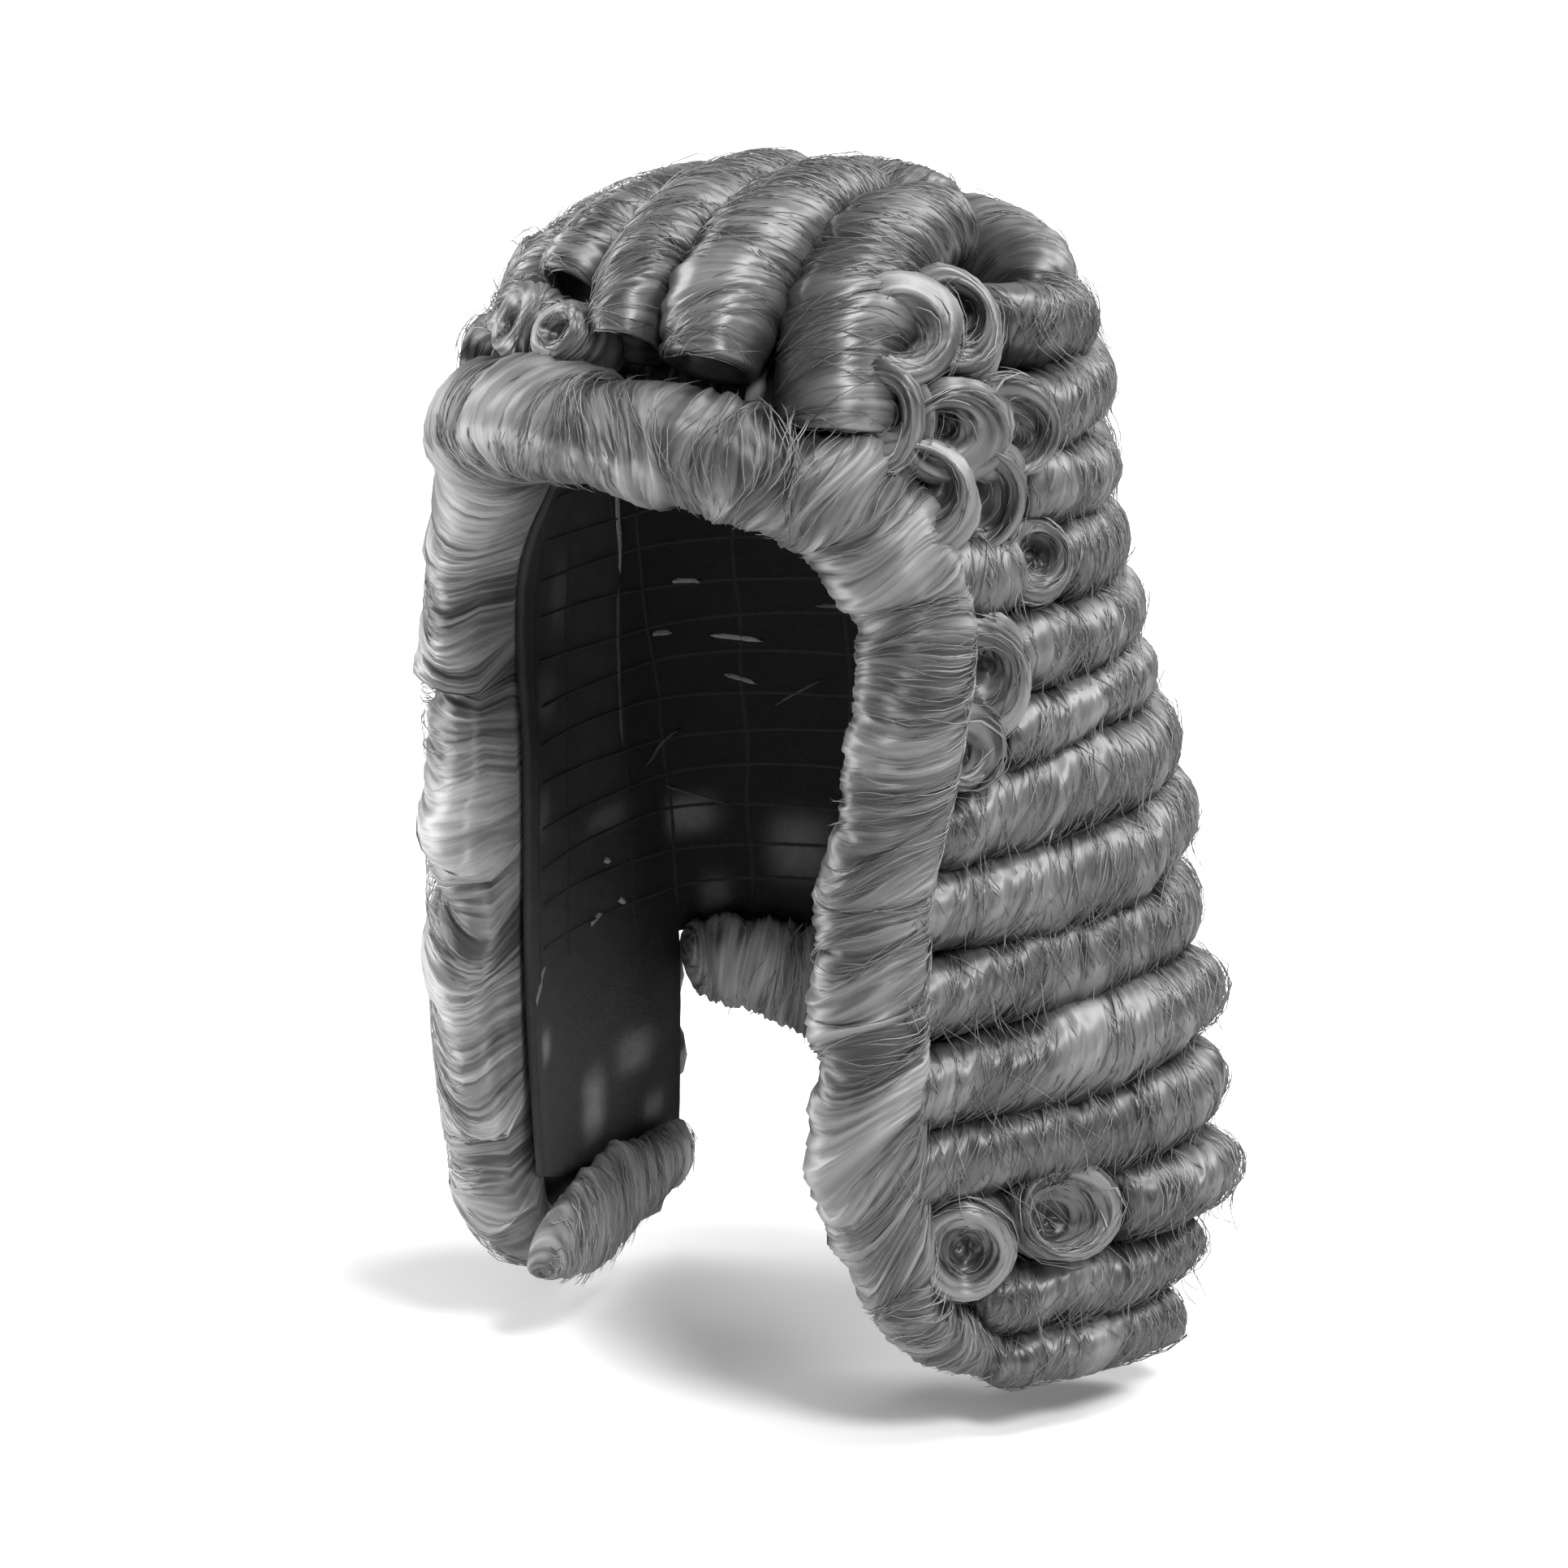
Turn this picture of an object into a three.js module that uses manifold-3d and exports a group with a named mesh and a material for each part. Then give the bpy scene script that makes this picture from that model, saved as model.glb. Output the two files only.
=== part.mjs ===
// A full-bottomed dress wig: a black cloth foundation with two hanging lappets, a brushed border of hair
// round the face, long rolls over the crown, and rows of curls on the sides, the back and the lappets.
// Millimetres, +Z up. The wearer faces -Y, and the top of the head touches the foundation at the origin.

import * as THREE from 'three';
import Module from 'manifold-3d';
import { mergeVertices } from 'three/addons/utils/BufferGeometryUtils.js';

const wasm = await Module();
wasm.setup();

// Driving dimensions
const CLOTH = 2.5; // thickness of the foundation cloth
const GAP = 0.9; // clearance between neighbouring pieces
const BROW_Z = -75; // lower edge of the foundation over the forehead
const NAPE_Z = -304; // lower edge of the foundation at the back
const LAPPET_Z = -390; // lower edge of the lappets
const LAPPET_BACK = THREE.MathUtils.degToRad(97); // angle from the middle front to a lappet's back edge
const LAPPET_CORNER = 45; // how much the front corner of a lappet is rounded off
const HAIR_DEPTH = 20; // half the height that a curl stands off the cloth
const DOME_POWER = 2.4; // 2 makes the crown an ellipsoid, more makes its shoulders fuller
const ROLL_SIDES = 8;
const RING_SIDES = 8;

// The foundation's inner face, a row for each height z: the front edge of the opening, the widest point of
// the side, and the middle of the back.
const LEVELS = [
  { z: -440, frontX: 70, frontY: -60, sideX: 108, sideY: 60, backY: 112 },
  { z: -300, frontX: 76, frontY: -66, sideX: 106, sideY: 58, backY: 112 },
  { z: -200, frontX: 79, frontY: -63, sideX: 98, sideY: 34, backY: 106 },
  { z: -124, frontX: 85, frontY: -57, sideX: 90, sideY: 8, backY: 100 },
  { z: BROW_Z, frontX: 63, frontY: -57, sideX: 83, sideY: 3, backY: 99 },
];

// The border of brushed hair follows the edge of the opening from a lappet's foot to the middle of the
// forehead.
const BORDER_DEPTH = 22.5;
const BORDER_HALF_WIDTH = 20;
const BORDER_STEPS = 32;
const BORDER = [
  { turn: 1.42, z: -424 },
  { turn: 1.18, z: -394 },
  { turn: 1.13, z: -340 },
  { turn: 1.12, z: -280 },
  { turn: 1.12, z: -220 },
  { turn: 1.14, z: -160 },
  { turn: 1.16, z: -116 },
  { turn: 0.98, z: -82 },
  { turn: 0.72, z: -63 },
  { turn: 0.35, z: -56 },
  { turn: 0, z: -55 },
];

// The long rolls over the crown run from the forehead to the back. A place on the crown is given by its
// lean from the middle line and its way over the head, from 0 degrees at the forehead over 90 degrees at
// the top.
const CROWN_DEPTH = 19.5;
const CROWN_ROLLS = [
  { fromLean: -47, fromWay: 40, toLean: -26.5, toWay: 107, fromHalf: 17.5, toHalf: 11.5 },
  { fromLean: -23, fromWay: 47, toLean: -22, toWay: 78, fromHalf: 12, toHalf: 8 },
  { fromLean: 0, fromWay: 37, toLean: -12, toWay: 110, fromHalf: 13.5, toHalf: 15.5 },
  { fromLean: 19, fromWay: 38, toLean: 7, toWay: 110, fromHalf: 17.5, toHalf: 15.5 },
  { fromLean: 48, fromWay: 33, toLean: 25.5, toWay: 107, fromHalf: 20, toHalf: 12.5 },
];
// A short roll lies across their back ends, and two small ring curls stand in front, above the border.
const TOP_CURL = { fromLean: -17, fromWay: 121, toLean: 17, toWay: 121, fromHalf: 14, toHalf: 14 };
const FRONT_CURLS = [
  { lean: -24, way: 33, half: 12 },
  { lean: -9, way: 31, half: 9 },
];

// Rows of curls on each side of the head and on the lappets, from the top down: the height at the row's
// front end and how far it rises to the back, the half height and the half thickness of its curls, its ends
// round the head, and its curls from front to back, where R is a roll that lies along the row and O a ring
// that stands out.
const SIDE_ROWS = [
  { name: 'side_row_1', z: -28, rise: -6, half: 12.5, depth: 22, from: 1.5, to: 2.37, curls: 'RR' },
  { name: 'side_row_2', z: -50, rise: -5, half: 13, depth: 20, from: 1.34, to: 2.37, curls: 'OOOR' },
  { name: 'side_row_3', z: -78, rise: -4, half: 13.5, depth: 20, from: 1.41, to: 2.37, curls: 'OOR' },
  { name: 'side_row_4', z: -109, rise: -2, half: 14.5, depth: 20, from: 1.42, to: 2.37, curls: 'ROR' },
  { name: 'side_row_5', z: -140, rise: -1, half: 14, depth: 21, from: 1.42, to: 2.37, curls: 'ORR' },
  { name: 'side_row_6', z: -167, rise: 0, half: 12, depth: 21, from: 1.38, to: 2.37, curls: 'ORR' },
  { name: 'side_row_7', z: -197, rise: 3, half: 16, depth: 23, from: 1.34, to: 2.37, curls: 'R' },
  { name: 'lappet_row_1', z: -231, rise: 5, half: 16, depth: 24, from: 1.31, to: 2.37, curls: 'R' },
  { name: 'lappet_row_2', z: -265, rise: 6, half: 16, depth: 22, from: 1.31, to: 2.26, curls: 'R' },
  { name: 'lappet_row_3', z: -299, rise: 7, half: 16.5, depth: 27, from: 1.31, to: 2.1, curls: 'R' },
  { name: 'lappet_row_4', z: -333, rise: 7, half: 16.5, depth: 26, from: 1.32, to: 2.07, curls: 'R' },
  { name: 'lappet_row_5', z: -366, rise: 6, half: 15.5, depth: 29, from: 1.36, to: 2.07, curls: 'OOR' },
  { name: 'lappet_row_6', z: -395, rise: 4, half: 12.5, depth: 24, from: 1.53, to: 2.0, curls: 'R' },
  { name: 'lappet_row_7', z: -422, rise: 2, half: 12.5, depth: 22, from: 1.58, to: 1.95, curls: 'R' },
];

// Rows of curls across the back, from the crown down to the nape.
const BACK_FROM = 2.39;
const BACK_ROWS = [
  { z: -26, half: 14, depth: 22 },
  { z: -53, half: 14.5, depth: 20 },
  { z: -84, half: 15, depth: 20 },
  { z: -116, half: 15.5, depth: 20 },
  { z: -149, half: 15.5, depth: 21 },
  { z: -182, half: 16, depth: 22 },
  { z: -215, half: 16, depth: 22 },
  { z: -248, half: 16, depth: 22 },
  { z: -281, half: 15.5, depth: 22 },
];

// The hems: a soft roll of hair ends under each lower edge of the cloth, which shows from inside.
const HEM_OFFSET = -8.5; // from the cloth's inner face to the middle of the roll
const HEM_DEPTH = 7;
const HEMS = [
  { name: 'nape_hem', z: -321, half: 20, from: 2.05, to: 3.95 },
  { name: 'left_lappet_hem', z: -408, half: 21, from: 1.36, to: 1.97 },
  { name: 'right_lappet_hem', z: -408, half: 21, from: -1.36, to: -1.97 },
];

// Materials
const clothBlack = new THREE.MeshStandardMaterial({ color: 0x161616, roughness: 0.85, metalness: 0 });
const hairGrey = new THREE.MeshStandardMaterial({ color: 0x8f8f8f, roughness: 0.5, metalness: 0 });

const wig = new THREE.Group();

function addPiece(name, geometry, material) {
  const mesh = new THREE.Mesh(geometry, material);
  mesh.name = name;
  wig.add(mesh);
}

// The foundation's surface

const sections = new THREE.CubicInterpolant(
  LEVELS.map((level) => level.z),
  LEVELS.flatMap((level) => [level.frontX, level.frontY, level.sideX, level.sideY, level.backY]),
  5,
);

// The ellipse arcs of a horizontal section: one from the front edge to the side, one from the side to the
// back.
function sectionAt(z) {
  const [frontX, frontY, sideX, sideY, backY] = sections.evaluate(z);
  const edge = Math.asin(frontX / sideX);
  return { edge, sideX, sideY, front: (sideY - frontY) / Math.cos(edge), back: backY - sideY };
}

// A turn is 0 at the middle of the forehead, 1 at a lappet's front edge, 2 at its back edge and 3 at the
// middle of the back. Negative turns are on the other side of the head.
function angleOf(turn, edge) {
  const t = Math.abs(turn);
  const stretches = [edge, LAPPET_BACK - edge, Math.PI - LAPPET_BACK];
  const whole = Math.min(Math.floor(t), 2);
  const passed = stretches.slice(0, whole).reduce((sum, stretch) => sum + stretch, 0);
  return Math.sign(turn) * (passed + (t - whole) * stretches[whole]);
}

// A point of the inner face. Above the brow the section shrinks to the top of the head as a dome does.
function capPoint(turn, z) {
  const { edge, sideX, sideY, front, back } = sectionAt(Math.min(z, BROW_Z));
  const rise = Math.max(0, 1 - z / BROW_Z);
  const share = Math.max(0, 1 - rise ** DOME_POWER) ** (1 / DOME_POWER);
  const angle = angleOf(turn, edge);
  const depth = Math.cos(angle) > 0 ? front : back;
  return new THREE.Vector3(share * sideX * Math.sin(angle), share * (sideY - depth * Math.cos(angle)), z);
}

// A point of the crown by its lean from the middle line and its way over the head, both in degrees.
function crownPoint(lean, way) {
  const [l, w] = [lean, way].map(THREE.MathUtils.degToRad);
  const { sideX, sideY, front, back } = sectionAt(BROW_Z);
  const unit = new THREE.Vector3(Math.sin(l), -Math.cos(l) * Math.cos(w), Math.cos(l) * Math.sin(w));
  const reach = Math.hypot(unit.x, unit.y);
  const scale = 1 / (reach ** DOME_POWER + unit.z ** DOME_POWER) ** (1 / DOME_POWER);
  const depth = unit.y < 0 ? front : back;
  return new THREE.Vector3(
    scale * sideX * unit.x,
    scale * (depth * unit.y + sideY * reach),
    BROW_Z - BROW_Z * scale * unit.z,
  );
}

// The outward normal of a surface given by two parameters, from small steps of both.
function normalOf(surface, p, q, stepP, stepQ) {
  const alongP = surface(p + stepP, q).sub(surface(p - stepP, q));
  const alongQ = surface(p, q + stepQ).sub(surface(p, q - stepQ));
  return alongP.cross(alongQ).normalize();
}

function capNormal(turn, z) {
  if (z > -0.5) return new THREE.Vector3(0, 0, 1);
  return normalOf(capPoint, turn, z, 1e-3, Math.min(0.2, -z / 2));
}

function crownNormal(lean, way) {
  return normalOf(crownPoint, lean, way, 0.05, 0.05);
}

// Solids

function geometryFrom(vertices, triangles) {
  const geometry = new THREE.BufferGeometry();
  const numbers = vertices.flatMap((v) => v.toArray());
  geometry.setAttribute('position', new THREE.Float32BufferAttribute(numbers, 3));
  geometry.setIndex(triangles);
  return mergeVertices(geometry, 1e-3);
}

function solidFrom(geometry) {
  const vertProperties = geometry.attributes.position.array;
  const triVerts = new Uint32Array(geometry.index.array);
  return new wasm.Manifold(new wasm.Mesh({ numProp: 3, vertProperties, triVerts }));
}

// One body from overlapping closed shapes.
function fuse(geometries) {
  const made = geometries.map(solidFrom).reduce((sum, solid) => sum.add(solid)).getMesh();
  const geometry = new THREE.BufferGeometry();
  geometry.setAttribute('position', new THREE.BufferAttribute(new Float32Array(made.vertProperties), 3));
  geometry.setIndex(new THREE.BufferAttribute(new Uint32Array(made.triVerts), 1));
  return geometry;
}

// A closed roll through stations {centre, out, up, depth, half}: each is an ellipse whose axes lie along
// out and up. An open end is dished, as the end of a curl is. A plain end is flat.
const DISH_LIP = 0.62; // where the dish begins, as a share of the radius
const DISH_DEPTH = 0.9; // its depth, as a share of the roll's half height
function roll(stations, sides, { openStart = true, openEnd = true } = {}) {
  const vertices = [];
  const triangles = [];
  const hoop = ({ centre, out, up, depth, half }, share) => {
    for (let i = 0; i < sides; i++) {
      const angle = (2 * Math.PI * i) / sides;
      const across = out.clone().multiplyScalar(share * depth * Math.cos(angle));
      const along = up.clone().multiplyScalar(share * half * Math.sin(angle));
      vertices.push(centre.clone().add(across).add(along));
    }
  };
  // The middle of an end lies in the dish, towards the next station.
  const middle = (end, next, open) => {
    const inward = next.centre.clone().sub(end.centre).setLength(open ? DISH_DEPTH * end.half : 0);
    return end.centre.clone().add(inward);
  };
  const first = stations[0];
  const last = stations.at(-1);
  vertices.push(middle(first, stations[1], openStart));
  if (openStart) hoop(first, DISH_LIP);
  stations.forEach((station) => hoop(station, 1));
  if (openEnd) hoop(last, DISH_LIP);
  vertices.push(middle(last, stations.at(-2), openEnd));

  const hoops = (vertices.length - 2) / sides;
  const tip = vertices.length - 1;
  const at = (h, i) => 1 + h * sides + (i % sides);
  for (let i = 0; i < sides; i++) {
    triangles.push(0, at(0, i + 1), at(0, i));
    for (let h = 0; h < hoops - 1; h++) {
      triangles.push(at(h, i), at(h, i + 1), at(h + 1, i), at(h, i + 1), at(h + 1, i + 1), at(h + 1, i));
    }
    triangles.push(tip, at(hoops - 1, i), at(hoops - 1, i + 1));
  }
  const geometry = geometryFrom(vertices, triangles);
  return solidFrom(geometry).volume() > 0 ? geometry : turnedRound(geometry);
}

function turnedRound(geometry) {
  const flipped = Array.from(geometry.index.array);
  for (let i = 0; i < flipped.length; i += 3) {
    [flipped[i + 1], flipped[i + 2]] = [flipped[i + 2], flipped[i + 1]];
  }
  return geometry.clone().setIndex(flipped);
}

// Below the nape the heights are pulled up towards the front edge, which rounds off the corner of the lappet.
function roundedOff(turn, z) {
  const low = Math.max(0, (NAPE_Z - z) / (NAPE_Z - LAPPET_Z));
  const near = Math.max(0, 1 - (Math.abs(turn) - 1) / 0.6);
  return z + LAPPET_CORNER * low * near * near;
}

// The foundation: a cloth wall over a grid of turns and heights, with cells left out at the face and below
// the nape.
function foundation() {
  const spread = (from, to, cells) => {
    return Array.from({ length: cells }, (_, i) => from + ((to - from) * i) / cells);
  };
  const half = [...spread(0, 1, 5), ...spread(1, 2, 4), ...spread(2, 3, 5), 3];
  const turns = [...half.slice(1).reverse().map((t) => -t), ...half];
  const crownHeights = spread(0, 90, 6).map((way) => BROW_Z * (1 - Math.cos(THREE.MathUtils.degToRad(way))));
  const heights = [...crownHeights, ...spread(BROW_Z, NAPE_Z, 7), ...spread(NAPE_Z, LAPPET_Z, 3), LAPPET_Z];
  const exists = (column, row) => {
    if (column < 0 || column >= turns.length - 1 || row < 0 || row >= heights.length - 1) return false;
    const turn = Math.abs(turns[column] + turns[column + 1]) / 2;
    const z = (heights[row] + heights[row + 1]) / 2;
    if (z > BROW_Z) return true;
    return z > NAPE_Z ? turn > 1 : turn > 1 && turn < 2;
  };
  // The columns at both ends are the same line down the middle of the back.
  const beside = (column) => (column + turns.length - 1) % (turns.length - 1);

  const vertices = [];
  const triangles = [];
  const index = (column, row, outer) => 2 * (row * turns.length + column) + outer;
  heights.forEach((height) => {
    turns.forEach((turn) => {
      const z = roundedOff(turn, height);
      const inside = capPoint(turn, z);
      vertices.push(inside, inside.clone().addScaledVector(capNormal(turn, z), CLOTH));
    });
  });
  const quad = (a, b, c, d) => triangles.push(a, b, c, a, c, d);
  for (let row = 0; row < heights.length - 1; row++) {
    for (let column = 0; column < turns.length - 1; column++) {
      if (!exists(column, row)) continue;
      const corner = (right, low, outer) => index(column + right, row + low, outer);
      quad(corner(0, 0, 1), corner(0, 1, 1), corner(1, 1, 1), corner(1, 0, 1));
      quad(corner(0, 0, 0), corner(1, 0, 0), corner(1, 1, 0), corner(0, 1, 0));
      if (!exists(beside(column - 1), row)) {
        quad(corner(0, 0, 0), corner(0, 1, 0), corner(0, 1, 1), corner(0, 0, 1));
      }
      if (!exists(beside(column + 1), row)) {
        quad(corner(1, 0, 1), corner(1, 1, 1), corner(1, 1, 0), corner(1, 0, 0));
      }
      if (!exists(column, row + 1)) {
        quad(corner(0, 1, 1), corner(0, 1, 0), corner(1, 1, 0), corner(1, 1, 1));
      }
    }
  }
  const merged = geometryFrom(vertices, triangles);
  const kept = [];
  const old = merged.index.array;
  for (let i = 0; i < old.length; i += 3) {
    const [a, b, c] = [old[i], old[i + 1], old[i + 2]];
    if (a !== b && b !== c && a !== c) kept.push(a, b, c);
  }
  return merged.setIndex(kept);
}

// The border: an oval roll whose middle line runs on the cloth along the table's points and their mirror
// images.
function border() {
  const across = [...BORDER, ...BORDER.slice(0, -1).reverse().map(({ turn, z }) => ({ turn: -turn, z }))];
  const offset = CLOTH + 4 * GAP + BORDER_DEPTH;
  const normals = across.map(({ turn, z }) => capNormal(turn, z));
  const centres = across.map(({ turn, z }, i) => capPoint(turn, z).addScaledVector(normals[i], offset));
  const line = new THREE.CatmullRomCurve3(centres);
  const lean = new THREE.CatmullRomCurve3(normals);
  const stations = Array.from({ length: BORDER_STEPS + 1 }, (_, i) => {
    const share = i / BORDER_STEPS;
    const tangent = line.getTangent(share);
    const out = lean.getPoint(share);
    out.addScaledVector(tangent, -out.dot(tangent)).normalize();
    const up = tangent.clone().cross(out);
    return { centre: line.getPoint(share), out, up, depth: BORDER_DEPTH, half: BORDER_HALF_WIDTH };
  });
  return roll(stations, ROLL_SIDES);
}

function crownStation(lean, way, alongLean, alongWay, half) {
  const out = crownNormal(lean, way);
  const ahead = crownPoint(lean + 0.05 * alongLean, way + 0.05 * alongWay);
  const tangent = ahead.sub(crownPoint(lean - 0.05 * alongLean, way - 0.05 * alongWay)).normalize();
  const centre = crownPoint(lean, way).addScaledVector(out, CLOTH + GAP + CROWN_DEPTH);
  return { centre, out, up: tangent.cross(out).normalize(), depth: CROWN_DEPTH, half };
}

function crownRoll({ fromLean, fromWay, toLean, toWay, fromHalf, toHalf }, steps) {
  const stations = Array.from({ length: steps + 1 }, (_, i) => {
    const at = (from, to) => from + ((to - from) * i) / steps;
    const length = Math.hypot(toLean - fromLean, toWay - fromWay);
    const along = [(toLean - fromLean) / length, (toWay - fromWay) / length];
    return crownStation(at(fromLean, toLean), at(fromWay, toWay), ...along, at(fromHalf, toHalf));
  });
  return roll(stations, ROLL_SIDES);
}

// A ring curl on the crown, with its open end facing out.
function crownRing({ lean, way, half }) {
  const { centre, out, up } = crownStation(lean, way, 0, 1, half);
  return ring(centre, out, up, half, half, CROWN_DEPTH);
}

// A ring curl: its axis stands out from the cloth, so its open end is seen.
const RING_FOOT = -0.7; // where the ring starts, as a share of its depth
function ring(middle, out, up, wide, half, depth) {
  const along = up.clone().cross(out);
  const stations = [RING_FOOT, 1].map((share) => ({
    centre: middle.clone().addScaledVector(out, share * depth),
    out: along,
    up,
    depth: wide,
    half,
  }));
  return roll(stations, RING_SIDES, { openStart: false });
}

// A station of a row of curls. Its section lies square to the cloth.
function rowStation(turn, z, { half, depth, offset = CLOTH + GAP + depth }) {
  const out = capNormal(turn, z);
  const centre = capPoint(turn, z).addScaledVector(out, offset);
  const along = capPoint(turn + 1e-3, z).sub(capPoint(turn - 1e-3, z)).normalize();
  return { centre, out, up: out.clone().cross(along), depth, half };
}

function rowStations(from, to, placeAt, steps) {
  return Array.from({ length: steps + 1 }, (_, i) => {
    const turn = from + ((to - from) * i) / steps;
    const { z, ...size } = placeAt(turn);
    return rowStation(turn, z, size);
  });
}

function rowRoll(from, to, placeAt, steps) {
  return roll(rowStations(from, to, placeAt, steps), ROLL_SIDES);
}

// A row of curls, fused to the thin weft that carries them.
const WEFT_DEPTH = 6;
const WEFT_OFFSET = CLOTH + 3 * GAP + WEFT_DEPTH;
const WEFT_SIDES = 4;
const CURL_SPACE = 0.03; // room left free at each end of a curl, as a share of its part of the row
const CURL_SHARES = { R: 1.6, O: 1 }; // a roll takes more of its row than a ring does
function curlRow({ z, rise, half, depth, from, to, curls }, side) {
  const placeAt = (turn) => {
    const share = (Math.abs(turn) - from) / (to - from);
    return { z: z + rise * share, half, depth: HAIR_DEPTH + (depth - HAIR_DEPTH) * Math.min(1, 2 * share) };
  };
  const stationAt = (turn) => {
    const { z: height, ...size } = placeAt(turn);
    return rowStation(turn, height, size);
  };
  if (curls.length === 1) return rowRoll(side * from, side * to, placeAt, 6);

  const shares = [...curls].map((kind) => CURL_SHARES[kind]);
  const passed = (count) => shares.slice(0, count).reduce((sum, share) => sum + share, 0);
  const length = (to - from) / passed(curls.length);
  const shapes = [...curls].map((kind, i) => {
    const begin = side * (from + length * (passed(i) + CURL_SPACE));
    const end = side * (from + length * (passed(i + 1) - CURL_SPACE));
    if (kind === 'R') return rowRoll(begin, end, placeAt, 2);
    const { centre, out, up, depth: thick } = stationAt((begin + end) / 2);
    const room = stationAt(begin).centre.distanceTo(stationAt(end).centre) / 2;
    return ring(centre, out, up, Math.min(half, room), half, thick);
  });
  const weftAt = (turn) => ({ z: placeAt(turn).z, half: WEFT_DEPTH, depth: WEFT_DEPTH, offset: WEFT_OFFSET });
  const weft = rowStations(side * from, side * to, weftAt, 3);
  return fuse([roll(weft, WEFT_SIDES, { openStart: false, openEnd: false }), ...shapes]);
}

function backRow(row) {
  return rowRoll(BACK_FROM, 6 - BACK_FROM, () => row, 6);
}

function hem({ z, half, from, to }) {
  const size = { z, half, depth: HEM_DEPTH, offset: HEM_OFFSET };
  return rowRoll(from, to, () => size, 5);
}

// Assembly
addPiece('foundation', foundation(), clothBlack);
addPiece('front_border', border(), hairGrey);
CROWN_ROLLS.forEach((row, i) => addPiece(`crown_roll_${i + 1}`, crownRoll(row, 6), hairGrey));
addPiece('top_curl', crownRoll(TOP_CURL, 4), hairGrey);
FRONT_CURLS.forEach((row, i) => addPiece(`front_curl_${i + 1}`, crownRing(row), hairGrey));
SIDE_ROWS.forEach((row) => {
  addPiece(`left_${row.name}`, curlRow(row, 1), hairGrey);
  addPiece(`right_${row.name}`, curlRow(row, -1), hairGrey);
});
BACK_ROWS.forEach((row, i) => addPiece(`back_row_${i + 1}`, backRow(row), hairGrey));
HEMS.forEach((row) => addPiece(row.name, hem(row), hairGrey));

export default wig;
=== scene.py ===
"""Dresses a full-bottomed wig: rolls and ring curls of grey hair on a black cloth foundation.

The hair is made of rolls. A roll is a middle line with an oval section. Its skin is a profile carried round
that line in narrow columns, one for each combed lock, and loose strands lie on the skin as thin closed tubes.
Both wind round the line, as hair winds round a curling iron. Lengths are in millimetres until a mesh is made.
The wearer faces -Y, and the left side is the wearer's.
"""

import json
import logging
import math
import zlib
from collections.abc import Iterator, Sequence
from dataclasses import dataclass, field, replace
from enum import Enum
from functools import cache

import bpy
import numpy as np
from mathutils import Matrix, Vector


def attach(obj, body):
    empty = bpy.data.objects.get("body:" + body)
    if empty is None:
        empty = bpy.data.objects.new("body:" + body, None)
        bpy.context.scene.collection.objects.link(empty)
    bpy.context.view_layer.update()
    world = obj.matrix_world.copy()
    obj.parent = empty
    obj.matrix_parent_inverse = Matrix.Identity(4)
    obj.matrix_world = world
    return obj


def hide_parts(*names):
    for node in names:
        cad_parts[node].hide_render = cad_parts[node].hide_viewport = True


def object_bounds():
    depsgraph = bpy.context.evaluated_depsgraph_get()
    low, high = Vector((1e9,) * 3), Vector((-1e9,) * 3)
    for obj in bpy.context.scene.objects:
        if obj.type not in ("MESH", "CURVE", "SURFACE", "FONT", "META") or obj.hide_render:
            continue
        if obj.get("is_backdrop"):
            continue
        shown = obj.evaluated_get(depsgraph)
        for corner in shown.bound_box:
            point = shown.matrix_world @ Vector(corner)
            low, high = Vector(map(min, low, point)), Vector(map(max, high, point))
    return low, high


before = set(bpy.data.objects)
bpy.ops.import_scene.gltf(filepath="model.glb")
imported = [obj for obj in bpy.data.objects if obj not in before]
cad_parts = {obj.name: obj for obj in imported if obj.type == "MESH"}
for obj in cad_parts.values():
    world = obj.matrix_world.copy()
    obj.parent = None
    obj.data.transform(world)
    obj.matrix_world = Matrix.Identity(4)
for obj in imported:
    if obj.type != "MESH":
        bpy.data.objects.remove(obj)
CAD_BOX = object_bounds()

Array = np.ndarray
Rng = np.random.Generator
Pair = tuple[float, float]
Triple = tuple[float, float, float]
Table = tuple[tuple[float, ...], ...]
LOG = logging.getLogger("wig")

MM = 0.001
CIRCLE = 2.0 * math.pi
BODY = "root"
UV_MAP = "hair"
TONE = "tone"
# Millimetres in one unit of the UV map.
UV_UNIT = 10.0
# Units of the UV map in one turn, on the cloth and on its laid hair.
TURN_UV = 10.0
LAID_UV = 30.0
# Small steps for directions on the cloth, in turns and in degrees.
SMALL_TURN = 1e-3
SMALL_ANGLE = 0.05

# Thickness of the cloth, the gap between pieces, heights of the brow, of the nape and of the lappets' foot,
# and half the usual thickness of a roll.
CLOTH = 2.5
GAP = 0.9
BROW_Z = -75.0
NAPE_Z = -304.0
LAPPET_Z = -390.0
HAIR_DEPTH = 20.0
# The turn of the middle of the back.
BACK = 3.0


class Side(Enum):
    """The wearer's side that a piece is on, with the sign of its turns."""

    LEFT = 1
    RIGHT = -1


class Curl(Enum):
    """A curl of a row, with the share of the row that it takes."""

    ROLL = 1.6
    RING = 1.0


CURL_LETTERS = {"R": Curl.ROLL, "O": Curl.RING}


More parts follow.
